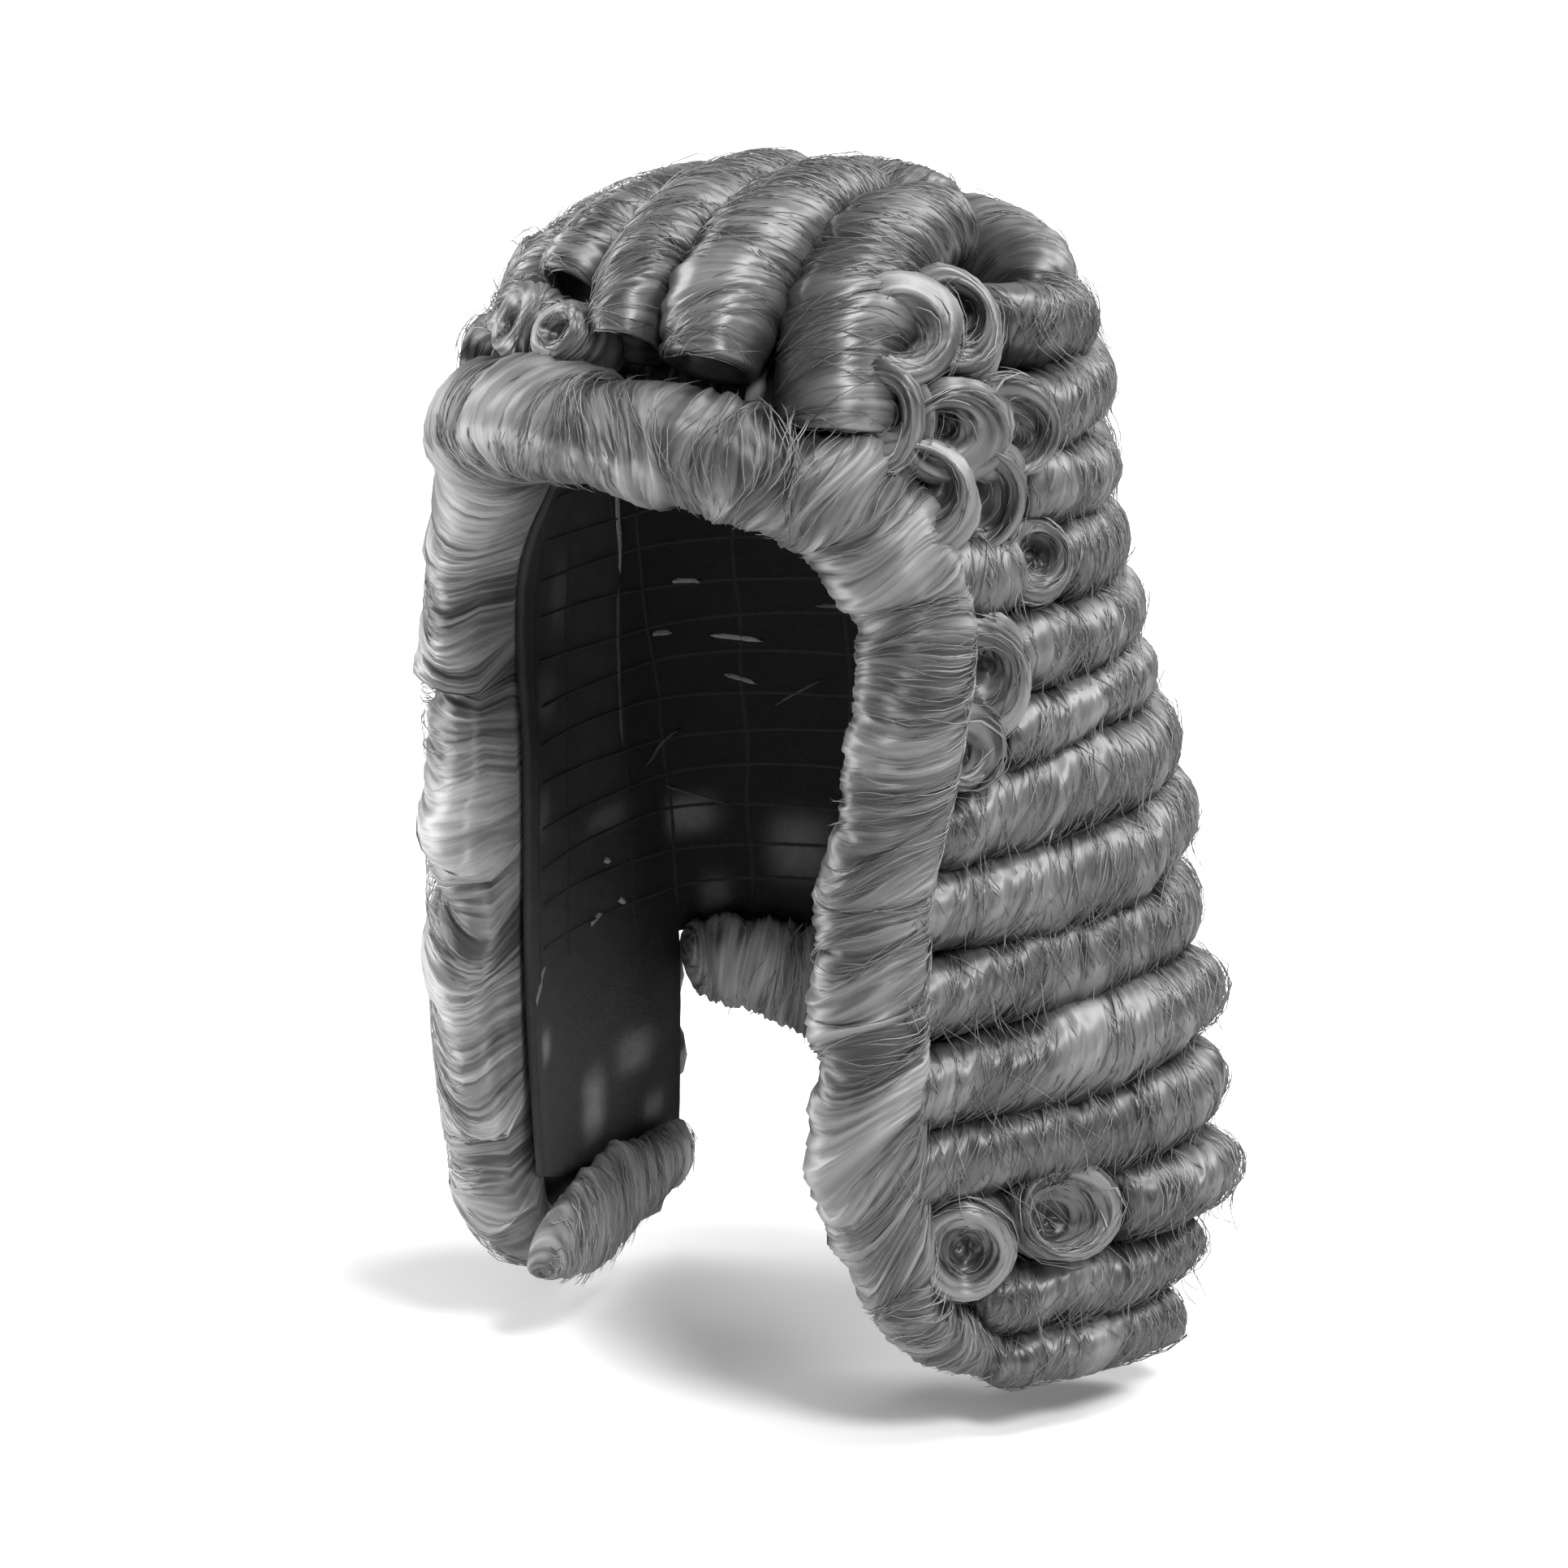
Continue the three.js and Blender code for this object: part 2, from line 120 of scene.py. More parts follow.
class End(Enum):
    """The end of a roll, from its middle out to its wall.

    Each point is a way inwards from the end and a distance from the middle line, both as shares of the
    roll's radius.
    """

    HOLLOW = ((1.10, 0.10), (0.85, 0.42), (0.45, 0.62), (0.14, 0.72), (0.0, 0.83), (0.05, 0.94), (0.25, 1.0))
    DISHED = ((0.95, 0.08), (0.80, 0.26), (0.45, 0.42), (0.14, 0.56), (0.0, 0.74), (0.05, 0.91), (0.25, 1.0))
    ROUND = ((0.0, 0.04), (0.02, 0.35), (0.12, 0.68), (0.35, 0.90), (0.70, 1.0))
    FOOT = ((0.0, 0.04), (0.05, 0.40), (0.60, 1.0))


def unit(vectors: Array) -> Array:
    """Scales vectors to length one along the last axis."""
    return vectors / np.linalg.norm(vectors, axis=-1, keepdims=True)


def shade_step(low: float, high: float, values: Array) -> Array:
    """Goes smoothly from 0 at low to 1 at high."""
    share = np.clip((values - low) / (high - low), 0.0, 1.0)
    return share * share * (3.0 - 2.0 * share)


def eased(share: Array) -> Array:
    """Half a cosine wave, which goes from 0 at share 0 to 1 at share 1."""
    return 0.5 - 0.5 * np.cos(np.pi * share)


def wrapped(angle: Array) -> Array:
    """The same angle, from half a turn back to half a turn on."""
    return (angle + math.pi) % CIRCLE - math.pi


def way_along(points: Array) -> Array:
    """The way from the first of a row of points to each of them, in straight steps."""
    return np.concatenate([[0.0], np.cumsum(np.linalg.norm(np.diff(points, axis=0), axis=1))])


def between(first: Array, last: Array, share: Array) -> Array:
    """The value that lies a share of the way from one value to another."""
    return first + (last - first) * share


def mirrored(values: Array, image: Array) -> Array:
    """A row of values up to a middle, followed by its image from there back."""
    return np.concatenate([values, image[-2::-1]])


@dataclass(frozen=True)
class Ripple:
    """A wave along a row: its size, its pace in radians a turn, and its shift in radians a mm of height."""

    size: float
    pace: float
    shift: float

    def __call__(self, turn: Array, z: Array) -> Array:
        """The wave at turns and heights."""
        return self.size * np.sin(self.pace * turn + self.shift * z)


def seeded(name: str) -> Rng:
    """Gives a piece its own repeatable random numbers, from its name."""
    return np.random.default_rng(zlib.crc32(name.encode()))


class Drift:
    """A smooth random line between -1 and 1, with a new value drawn every spacing along it."""

    def __init__(self, length: float, spacing: float, rng: Rng) -> None:
        """Draws the values.

        Args:
            length: how far the line reaches.
            spacing: the distance between two drawn values.
            rng: the piece's random numbers.
        """
        self.spacing = spacing
        self.values = rng.uniform(-1.0, 1.0, int(length / spacing) + 5)

    def __call__(self, place: Array) -> Array:
        """Reads the line: two neighbouring values are blended by half a cosine wave."""
        step = np.clip(place / self.spacing + 1.0, 0.0, len(self.values) - 1.001)
        low = step.astype(int)
        return between(self.values[low], self.values[low + 1], eased(step - low))


def smooth_line(points: Array, shares: Array) -> Array:
    """Reads a centripetal Catmull-Rom curve through points.

    Between two points the curve is a cubic whose end slopes come from the neighbouring chords, each weighed
    by the square root of its length.

    Args:
        points: the curve's points, one a row.
        shares: places on the curve from 0 to 1, the same step for every stretch.

    Returns:
        One row for each share.
    """
    ends = np.vstack([2 * points[0] - points[1], points, 2 * points[-1] - points[-2]])
    place = np.clip(shares, 0.0, 1.0) * (len(points) - 1)
    low = np.minimum(place.astype(int), len(points) - 2)
    t = (place - low)[:, None]
    p0, p1, p2, p3 = (ends[low + i] for i in range(4))
    d0, d1, d2 = (np.sqrt(np.linalg.norm(b - a, axis=1))[:, None] for a, b in ((p0, p1), (p1, p2), (p2, p3)))
    slope1 = d1 * ((p1 - p0) / d0 - (p2 - p0) / (d0 + d1) + (p2 - p1) / d1)
    slope2 = d1 * ((p2 - p1) / d1 - (p3 - p1) / (d1 + d2) + (p3 - p2) / d2)
    square = 3 * (p2 - p1) - 2 * slope1 - slope2
    cube = 2 * (p1 - p2) + slope1 + slope2
    return p1 + slope1 * t + square * t**2 + cube * t**3


@dataclass(frozen=True)
class HeadForm:
    """The inner face of the cloth: oval sections up the head and lappets, under a dome.

    A turn is 0 at the middle of the forehead, 1 at a lappet's front edge, 2 at its back edge and 3 at the
    middle of the back. Negative turns are on the right.
    """

    # Height, then the front edge's x and y, the widest point's x and y, and the back's y.
    levels: Table = (
        (-440.0, 70.0, -60.0, 108.0, 60.0, 112.0), (-300.0, 76.0, -66.0, 106.0, 58.0, 112.0),
        (-200.0, 79.0, -63.0, 98.0, 34.0, 106.0), (-124.0, 85.0, -57.0, 90.0, 8.0, 100.0),
        (BROW_Z, 63.0, -57.0, 83.0, 3.0, 99.0),
    )
    dome_power: float = 2.4
    lappet_back: float = math.radians(97.0)
    lappet_corner: float = 18.0
    corner_reach: float = 0.6
    # The height above which the dome counts as flat.
    flat_z: float = -0.5

    def sections(self, z: Array) -> tuple[Array, Array, Array, Array, Array]:
        """Reads the sections by a cubic through the levels, straight at both ends.

        Args:
            z: heights at or below the brow.

        Returns:
            The front edge's angle, the widest x, its y, and the front and back half axes.
        """
        table = np.array(self.levels)
        times = table[:, 0]
        held = np.clip(z, times[0], times[-1])
        high = np.clip(np.searchsorted(times, held, side="right"), 1, len(times) - 1)
        low = high - 1
        before = np.where(low == 0, high, low - 1)
        after = np.where(high == len(times) - 1, low, np.minimum(high + 1, len(times) - 1))
        span = times[high] - times[low]
        p = ((held - times[low]) / span)[..., None]
        first = (0.5 * span / (times[low] - times[before]))[..., None]
        last = (0.5 * span / (times[after] - times[high]))[..., None]
        values = (
            (-first * p**3 + 2 * first * p**2 - first * p) * table[before, 1:]
            + ((1 + first) * p**3 + (-1.5 - 2 * first) * p**2 + (-0.5 + first) * p + 1) * table[low, 1:]
            + ((-1 - last) * p**3 + (1.5 + last) * p**2 + 0.5 * p) * table[high, 1:]
            + (last * p**3 - last * p**2) * table[after, 1:]
        )
        front_x, front_y, side_x, side_y, back_y = np.moveaxis(values, -1, 0)
        edge = np.arcsin(front_x / side_x)
        return edge, side_x, side_y, (side_y - front_y) / np.cos(edge), back_y - side_y

    def angle(self, turn: Array, edge: Array) -> Array:
        """Turns into angles from the middle front, straight between the edges that whole turns name."""
        size = np.abs(turn)
        whole = np.minimum(size.astype(int), 2)
        passed = np.choose(whole, (0.0 * edge, edge, self.lappet_back + 0.0 * edge))
        stretch = np.choose(whole, (edge, self.lappet_back - edge, math.pi - self.lappet_back + 0.0 * edge))
        return np.sign(turn) * (passed + (size - whole) * stretch)

    def dome_share(self, share: Array) -> Array:
        """One coordinate of a point on the dome's superellipse from the other, as shares of its axes."""
        return np.maximum(0.0, 1.0 - share**self.dome_power) ** (1.0 / self.dome_power)

    def dome_height(self, share: Array) -> Array:
        """The height where the dome's section has shrunk to a share of the brow's."""
        return BROW_Z * (1.0 - self.dome_share(share))

    def cap(self, turn: Array, z: Array) -> Array:
        """A point of the cloth: its oval section, shrunk above the brow as a superellipse dome shrinks."""
        turn, z = np.broadcast_arrays(np.asarray(turn, float), np.asarray(z, float))
        edge, side_x, side_y, front, back = self.sections(np.minimum(z, BROW_Z))
        share = self.dome_share(np.maximum(0.0, 1.0 - z / BROW_Z))
        angle = self.angle(turn, edge)
        depth = np.where(np.cos(angle) > 0.0, front, back)
        across, along = side_x * np.sin(angle), side_y - depth * np.cos(angle)
        return np.stack([share * across, share * along, z], axis=-1)

    def cap_along(self, turn: Array, z: Array) -> Array:
        """The direction of growing turns on the cloth, from a small step each way."""
        return unit(self.cap(turn + SMALL_TURN, z) - self.cap(turn - SMALL_TURN, z))

    def cap_normal(self, turn: Array, z: Array) -> Array:
        """The outward normal of the cloth: the cross product of its two directions."""
        turn, z = np.broadcast_arrays(np.asarray(turn, float), np.asarray(z, float))
        step = np.clip(-z / 2.0, 1e-3, 0.2)
        upward = self.cap(turn, z + step) - self.cap(turn, z - step)
        normal = unit(np.cross(self.cap_along(turn, z), upward))
        return np.where((z > self.flat_z)[..., None], (0.0, 0.0, 1.0), normal)

    def crown(self, lean: Array, way: Array) -> Array:
        """A point of the dome, by its lean from the middle line and its way over the head in degrees."""
        lean, way = np.radians(lean), np.radians(way)
        _, side_x, side_y, front, back = self.sections(np.full(np.shape(lean), BROW_Z))
        x, y, z = np.sin(lean), -np.cos(lean) * np.cos(way), np.cos(lean) * np.sin(way)
        reach = np.hypot(x, y)
        scale = (reach**self.dome_power + z**self.dome_power) ** (-1.0 / self.dome_power)
        depth = np.where(y < 0.0, front, back)
        height = BROW_Z - BROW_Z * scale * z
        return np.stack([scale * side_x * x, scale * (depth * y + side_y * reach), height], axis=-1)

    def crown_normal(self, lean: Array, way: Array) -> Array:
        """The outward normal of the dome: the cross product of its two directions."""
        across = self.crown(lean + SMALL_ANGLE, way) - self.crown(lean - SMALL_ANGLE, way)
        over = self.crown(lean, way + SMALL_ANGLE) - self.crown(lean, way - SMALL_ANGLE)
        return unit(np.cross(across, over))

    def rounded_off(self, turn: Array, z: Array) -> Array:
        """Pulls heights below the nape up towards the front edge, which rounds off a lappet's corner."""
        low = np.maximum(0.0, (NAPE_Z - z) / (NAPE_Z - LAPPET_Z))
        near = np.maximum(0.0, 1.0 - (np.abs(turn) - 1.0) / self.corner_reach)
        return z + self.lappet_corner * low * near**2


@dataclass
class Patch:
    """A stretch of mesh as whole arrays: points in mm, faces, and what the finish reads at each point."""

    points: Array
    quads: Array
    tris: Array
    uv: Array
    tone: Array
    quad_finish: Array = field(default_factory=lambda: np.zeros(0, int))
    rim: Array = field(default_factory=lambda: np.zeros(0, int))

    def __post_init__(self) -> None:
        """Gives every four-sided face the first finish and every point no rim where none is named."""
        if len(self.quad_finish) != len(self.quads):
            self.quad_finish = np.zeros(len(self.quads), int)
        if len(self.rim) != len(self.points):
            self.rim = np.zeros(len(self.points), int)

    @property
    def triangles(self) -> int:
        """The number of triangles that the faces make."""
        return 2 * len(self.quads) + len(self.tris)

    @classmethod
    def joined(cls, patches: Sequence["Patch"]) -> "Patch":
        """Puts patches together into one, with their points counted on.

        Args:
            patches: the stretches of mesh.

        Returns:
            One patch with all their points and faces.
        """
        starts = np.cumsum([0] + [len(patch.points) for patch in patches[:-1]])
        arrays = {
            name: np.concatenate([getattr(patch, name) for patch in patches])
            for name in ("points", "uv", "tone", "quad_finish", "rim")
        }
        for name in ("quads", "tris"):
            numbers = [getattr(patch, name) + start for patch, start in zip(patches, starts)]
            arrays[name] = np.concatenate(numbers)
        return cls(**arrays)

    def trimmed(self) -> "Patch":
        """The same patch without the points that no face uses."""
        corners = np.concatenate([self.quads.ravel(), self.tris.ravel()])
        used, place = np.unique(corners, return_inverse=True)
        quads, tris = np.split(place, [self.quads.size])
        kept = {name: getattr(self, name)[used] for name in ("points", "uv", "tone", "rim")}
        return replace(self, quads=quads.reshape(-1, 4), tris=tris.reshape(-1, 3), **kept)

    def mesh(self, name: str) -> bpy.types.Mesh:
        """Writes the arrays into a mesh, in metres.

        Args:
            name: the mesh's name.

        Returns:
            The mesh, with a UV map named hair and a point value named tone.
        """
        mesh = bpy.data.meshes.new(name)
        corners = np.concatenate([self.quads.ravel(), self.tris.ravel()]).astype(np.int32)
        sizes = np.repeat([4, 3], [len(self.quads), len(self.tris)]).astype(np.int32)
        mesh.vertices.add(len(self.points))
        mesh.vertices.foreach_set("co", (self.points * MM).astype(np.float32).ravel())
        mesh.loops.add(len(corners))
        mesh.loops.foreach_set("vertex_index", corners)
        mesh.polygons.add(len(sizes))
        mesh.polygons.foreach_set("loop_start", (np.cumsum(sizes) - sizes).astype(np.int32))
        mesh.polygons.foreach_set("use_smooth", np.ones(len(sizes), bool))
        finish = np.concatenate([self.quad_finish, np.zeros(len(self.tris), int)])
        mesh.polygons.foreach_set("material_index", finish.astype(np.int32))
        mesh.update(calc_edges=True)
        pairs = np.empty(2 * len(mesh.edges), np.int32)
        mesh.edges.foreach_get("vertices", pairs)
        first, second = self.rim[pairs.reshape(-1, 2)].T
        mesh.edges.foreach_set("use_edge_sharp", (first > 0) & (first == second))
        layer = mesh.uv_layers.new(name=UV_MAP)
        layer.data.foreach_set("uv", self.uv[corners].astype(np.float32).ravel())
        tone = mesh.attributes.new(TONE, "FLOAT", "POINT")
        tone.data.foreach_set("value", self.tone.astype(np.float32))
        return mesh


def tube_faces(rings: int, sides: int, first: int, poles: tuple[int, int]) -> tuple[Array, Array]:
    """The faces of a closed tube: four-sided ones between rings of points, and a fan to a pole at each end.

    Args:
        rings: the number of rings.
        sides: the number of points in a ring.
        first: the number of the first ring's first point. The other points follow it.
        poles: the numbers of the points that close the ends.

    Returns:
        The four-sided faces and the triangles.
    """
    row = first + sides * np.arange(rings)[:, None]
    column = np.arange(sides)
    beside = (column + 1) % sides
    here, below = row[:-1], row[1:]
    quads = np.stack([here + column, below + column, below + beside, here + beside], axis=-1)
    start, end = (np.full(sides, pole) for pole in poles)
    ends = ((start, row[0] + column, row[0] + beside), (end, row[-1] + beside, row[-1] + column))
    return quads.reshape(-1, 4), np.concatenate([np.stack(corners, axis=-1) for corners in ends])


def strand_patch(sides: Sequence[Array], uv: Sequence[Array], tone: Array, flip: bool) -> Patch:
    """Closes rows of points into three-sided strands with pointed tips.

    Ring k of a strand is its left, ridge and right point at step k. Rings are joined by four-sided faces,
    and the first and last ridge point are the tips, joined to the nearest ring by triangles. The left and
    the right line are rims, whose edges stay sharp.

    Args:
        sides: points of the left edges, the ridges and the right edges, each strands by steps by 3.
        uv: their places on the hair, each strands by steps by 2.
        tone: the lightness, strands by steps.
        flip: turns the faces round.

    Returns:
        All the strands as one patch.
    """
    count, steps = tone.shape

    def with_tips(left: Array, ridge: Array, right: Array) -> Array:
        """The first ridge value, then left, ridge and right at each inner step, then the last ridge value."""
        inner = np.stack([left, ridge, right], axis=2)[:, 1:-1]
        return np.concatenate([ridge[:, :1], inner.reshape(count, -1, ridge.shape[2]), ridge[:, -1:]], axis=1)

    points = with_tips(*sides)
    shade = tone[..., None]
    quads, tris = tube_faces(steps - 2, 3, 1, (0, points.shape[1] - 1))
    quads, tris = quads[:, (0, 3, 2, 1)], tris[:, (0, 2, 1)]
    if flip:
        quads, tris = quads[:, ::-1], tris[:, ::-1]
    starts = (np.arange(count) * points.shape[1])[:, None, None]
    rim = np.concatenate([[0], np.tile([1, 0, 2], steps - 2), [0]])
    return Patch(
        points.reshape(-1, 3),
        (quads[None] + starts).reshape(-1, 4),
        (tris[None] + starts).reshape(-1, 3),
        with_tips(*uv).reshape(-1, 2),
        with_tips(shade, shade, shade).reshape(-1),
        rim=np.tile(rim, count),
    )


@dataclass
class Spine:
    """The middle line of a roll, with the two half axes of its oval section at each station (mm)."""

    centre: Array
    across: Array
    rise: Array
    way: Array = field(init=False)

    def __post_init__(self) -> None:
        """Measures the way along the line."""
        self.way = way_along(self.centre)

    @property
    def length(self) -> float:
        """The length of the line."""
        return float(self.way[-1])

    @property
    def radius(self) -> float:
        """The mean half axis of the sections."""
        axes = np.concatenate([self.across, self.rise])
        return float(np.linalg.norm(axes, axis=1).mean())

    @property
    def right_handed(self) -> bool:
        """Whether the section's axes and the line turn the way that x, y and z do."""
        middle = len(self.centre) // 2
        ahead = self.centre[middle] - self.centre[middle - 1]
        return float(np.dot(np.cross(self.across[middle], self.rise[middle]), ahead)) > 0.0

    def at(self, way: Array) -> tuple[Array, Array, Array]:
        """Reads the stations, straight between them and straight on past both ends.

        Args:
            way: places along the line.

        Returns:
            The centres and the two half axes.
        """
        held = np.clip(way, 0.0, self.length)
        rows = np.concatenate([self.centre, self.across, self.rise], axis=1)
        found = np.stack([np.interp(held, self.way, column) for column in rows.T], axis=-1)
        before = unit(self.centre[1] - self.centre[0])
        after = unit(self.centre[-1] - self.centre[-2])
        beyond = (way - held)[..., None]
        centre = found[..., :3] + beyond * np.where(beyond < 0.0, before, after)
        return centre, found[..., 3:6], found[..., 6:]


@dataclass(frozen=True)
class StrandStyle:
    """How the hair of a roll lies (mm, radians and shares of one)."""

    # The width of a combed column, and how far its fine hairs, its locks and its broad lumps stand up.
    comb: float = 0.9
    fine: float = 0.28
    lock: float = 0.55
    lump: float = 1.0
    lump_width: int = 12
    # Shares of the roll's length, each with the slope of the hair there, and how far the slope strays.
    slants: Table = ((0.0, 0.16), (1.0, 0.16))
    stray: float = 0.10
    # The swing of the combed hair, and the coils on a curl's ends.
    wave: float = 1.8
    wave_count: float = 2.0
    spiral: float = 0.28
    spiral_step: float = 4.2
    # The angle that is seen, and how far above it the painted light is brightest, with painted shade below.
    facing: float = 0.0
    bright: float = 0.15
    # Lightness, how much single hairs and broad lumps differ from it, and how dark the creases are painted as
    # shade.
    light: float = 0.28
    spread: float = 0.32
    mottle: float = 0.1
    crease: float = 0.72
    # Loose strands for each mm of the profile, with their half width, their reach round it and their steps.
    strands: float = 0.5
    strand_half: float = 0.18
    strand_reach: float = 2.2
    strand_steps: int = 5
    # How far a strand strays and crimps, the share of strands that stand off at one end, and how far.
    tangle: float = 0.18
    crimp: float = 0.4
    crimp_count: float = 9.0
    loose: float = 0.16
    loose_lift: float = 4.5
    # Strands that cross to the next row, for each mm of the profile, and how far down, in half heights.
    crossing: float = 0.0
    crossing_reach: float = 1.65


# The most of a roll's length that an end one radius deep takes, and the profile's steps between two corners.
DEEPEST = 0.45
STRETCH = 8
# The mm between two values from which the wave's phase and the hair's slope drift along the profile.
PHASE_DRIFT = 22.0
LEAN_DRIFT = 35.0
# Angles of the skin's points: round a ring, and on a roll those that are seen, up to an edge, and the rest.
# Then the fewest columns.
RING_SIDES = 24
SEEN_SIDES = 18
SEEN_EDGE = 2.1
HIDDEN_SIDES = 3
FEWEST_COLUMNS = 12
# What is left on an end of the combed hair's slide, of the relief and of the painted light, as shares of the
# wall's, and the shares of an end between which its painted light fades to painted shade.
END_COMB = 0.1
END_RELIEF = 0.55
END_PAINTED_LIGHT = 0.3
END_FADE = (0.1, 0.75)
# Angles from the seen side over which the relief fades out, and over which painted shade grows towards a
# crease.
RELIEF_FADE = (1.7, 2.6)
CREASE_FADE = (0.15, 1.15)
# The heights where locks are cut flat and where they stop getting lighter, with painted shade in the
# partings.
LOCK_TOP = 0.9
LOCK_BRIGHT = 0.5
# Shares of bands, locks and coils in the tone, its range and the tone of an end's middle.
# Locks and coils paint shade into their partings and grooves, and an end's middle is painted dark as shade.
BAND_TONE = 0.7
LOCK_TONE = 0.25
COIL_TONE = 0.35
TONES = (0.12, 2.0)
POLE_TONE = 0.04
# Loose strands: angles of their middles and of their ends, lengths, heights, shares of a loose end's lift,
# and the margin at the profile's ends.
STRAND_MIDDLE = 1.1
STRAND_EDGE = 1.7
STRAND_LENGTHS = (0.4, 1.1)
STRAND_LIFTS = (0.2, 1.3)
LOOSE_LIFTS = (0.2, 1.0)
STRAND_MARGIN = 0.5
# Crossing strands: tops, lengths, sags, tuck at the top, height, and mean and spread of lean and of bow.
CROSS_TOPS = (-0.5, 0.6)
CROSS_LENGTHS = (0.5, 1.0)
CROSS_SAGS = (0.10, 0.26)
CROSS_TUCK = 0.3
CROSS_LIFT = 0.4
CROSS_LEAN = (-0.35, 0.35)
CROSS_BOW = (0.0, 4.0)
# The height of a strand's ridge, the spread of its own lightness and the range of its place in the streaks.
RIDGE = 0.3
OWN_SPREAD = 1.6
STREAK_RANGE = 40.0


@dataclass
class Roll:
    """One roll or ring of hair: a spine, its two ends, and how its hair lies."""

    spine: Spine
    start: End
    end: End
    style: StrandStyle
    rng: Rng
    all_round: bool = False
    # How far the middle of a ring's coils is drawn along the row and upwards, as shares of its radius.
    drawn: Pair = (0.0, 0.0)
    # Shares of the roll's length, each with the size of the section's upper and of its lower half there.
    halves: Table = ((0.0, 1.0, 1.0), (1.0, 1.0, 1.0))
    # Shares of the roll's length, each with the painted light on its hair there.
    greys: Table = ((0.0, 1.0), (1.0, 1.0))

    def __post_init__(self) -> None:
        """Works out the profile and the drifting values along it.

        The profile goes from the middle of the first end, over its rim and along the wall to the middle of
        the other end. Its normal is its direction turned a quarter, away from the hair.
        """
        radius, length = self.spine.radius, self.spine.length
        hollow = min(1.0, DEEPEST * length / radius)
        begin, finish = np.array(self.start.value), np.array(self.end.value)[::-1]
        way = np.concatenate([begin[:, 0] * radius * hollow, length - finish[:, 0] * radius * hollow])
        corners = np.stack([way, radius * np.concatenate([begin[:, 1], finish[:, 1]])], axis=-1)
        outline = smooth_line(corners, np.linspace(0.0, 1.0, STRETCH * (len(corners) - 1) + 1))
        self.way, self.share = outline[:, 0], outline[:, 1] / radius
        self.q = way_along(outline)
        ahead = unit(np.gradient(outline, self.q, axis=0))
        self.normal = np.stack([-ahead[:, 1], ahead[:, 0]], axis=-1)
        self.wall = (self.q[STRETCH * (len(begin) - 1)], self.q[STRETCH * len(begin)])
        self.phase = Drift(self.q[-1], PHASE_DRIFT, self.rng)
        self.lean = Drift(self.q[-1], LEAN_DRIFT, self.rng)

    @property
    def length(self) -> float:
        """The length of the profile."""
        return float(self.q[-1])

    def point(self, q: Array, theta: Array, lift: Array) -> Array:
        """A point of the roll: its profile at q, lifted along its normal and turned by theta.

        Args:
            q: places along the profile.
            theta: angles round the spine, 0 away from the cloth and a quarter turn upwards.
            lift: heights over the profile.

        Returns:
            The points.
        """
        q, theta, lift = np.broadcast_arrays(q, theta, lift)
        way = np.interp(q, self.q, self.way) + lift * np.interp(q, self.q, self.normal[:, 0])
        rise = lift * np.interp(q, self.q, self.normal[:, 1]) / self.spine.radius
        share = np.interp(q, self.q, self.share) + rise
        centre, across, up = self.spine.at(way)
        sine = np.sin(theta)
        shares, upper, lower = np.array(self.halves).T
        along = np.clip(way / self.spine.length, 0.0, 1.0)
        sine = sine * np.where(sine > 0.0, np.interp(along, shares, upper), np.interp(along, shares, lower))
        inside = np.clip(1.0 - share, 0.0, 1.0)[..., None]
        centre = centre + inside * (self.drawn[0] * across + self.drawn[1] * up)
        return centre + share[..., None] * (np.cos(theta)[..., None] * across + sine[..., None] * up)

    def on_wall(self, q: Array, outside: float, inside: float) -> Array:
        """1 on the wall and 0 on the ends, blended from outside the wall's edges to inside them."""
        begin, finish = self.wall
        begun = shade_step(begin - outside, begin + inside, q)
        return begun * (1.0 - shade_step(finish - inside, finish + outside, q))

    def combed(self, start: Array, theta: Array) -> Array:
        """Where the hair that starts at a place of the profile has got to at an angle.

        It slides by the slant there times the sine of the angle, and swings in a wave whose phase drifts.

        Args:
            start: places along the profile.
            theta: angles round the spine.

        Returns:
            Places along the profile.
        """
        style = self.style
        slope = np.interp(start / self.length, *np.array(style.slants).T) + style.stray * self.lean(start)
        slide = slope * self.spine.radius * np.sin(theta - style.facing)
        wave = style.wave * np.sin(style.wave_count * theta + math.pi * self.phase(start))
        free = between(END_COMB, 1.0, self.on_wall(start, outside=2.0, inside=8.0))
        return np.clip(start + free * (slide + wave), 0.0, self.length)

    def shade(self, q: Array, theta: Array) -> Array:
        """Painted light kept at places: painted shade towards the cloth, in the creases and towards the
        middle of each end.
        """
        ends = np.minimum(q / self.wall[0], (self.length - q) / (self.length - self.wall[1]))
        kept = between(END_PAINTED_LIGHT, 1.0, shade_step(*END_FADE, ends))
        # Painted light along the roll's length.
        kept = kept * np.interp(q / self.length, *np.array(self.greys).T)
        if self.all_round:
            return kept
        # Painted shade away from the lit side, towards the creases and the cloth.
        turned = np.abs(wrapped(theta - self.style.facing - self.style.bright))
        return kept * (1.0 - self.style.crease * shade_step(*CREASE_FADE, turned))

    def tufts(self, columns: int, theta: Array, spans: int, width: int) -> Array:
        """Random tufts of hair over columns and angles, with a spread of one.

        Normal numbers are drawn for every column at a few angles, averaged twice over neighbouring columns,
        and blended between the angles by half a cosine wave.

        Args:
            columns: the number of columns.
            theta: the angles.
            spans: how many angles are drawn round the roll.
            width: how many columns are averaged.

        Returns:
            Columns by angles.
        """
        drawn = self.rng.normal(0.0, 1.0, (columns + 2 * width, spans))
        for _ in range(2):
            total = np.cumsum(np.vstack([np.zeros(spans), drawn]), axis=0)
            drawn = (total[width:] - total[:-width]) / width
        drawn = drawn[:columns] / drawn.std()
        place = (theta / CIRCLE + 0.5) * spans
        low = np.floor(place).astype(int)
        return between(drawn[:, low % spans], drawn[:, (low + 1) % spans], eased(place - low))

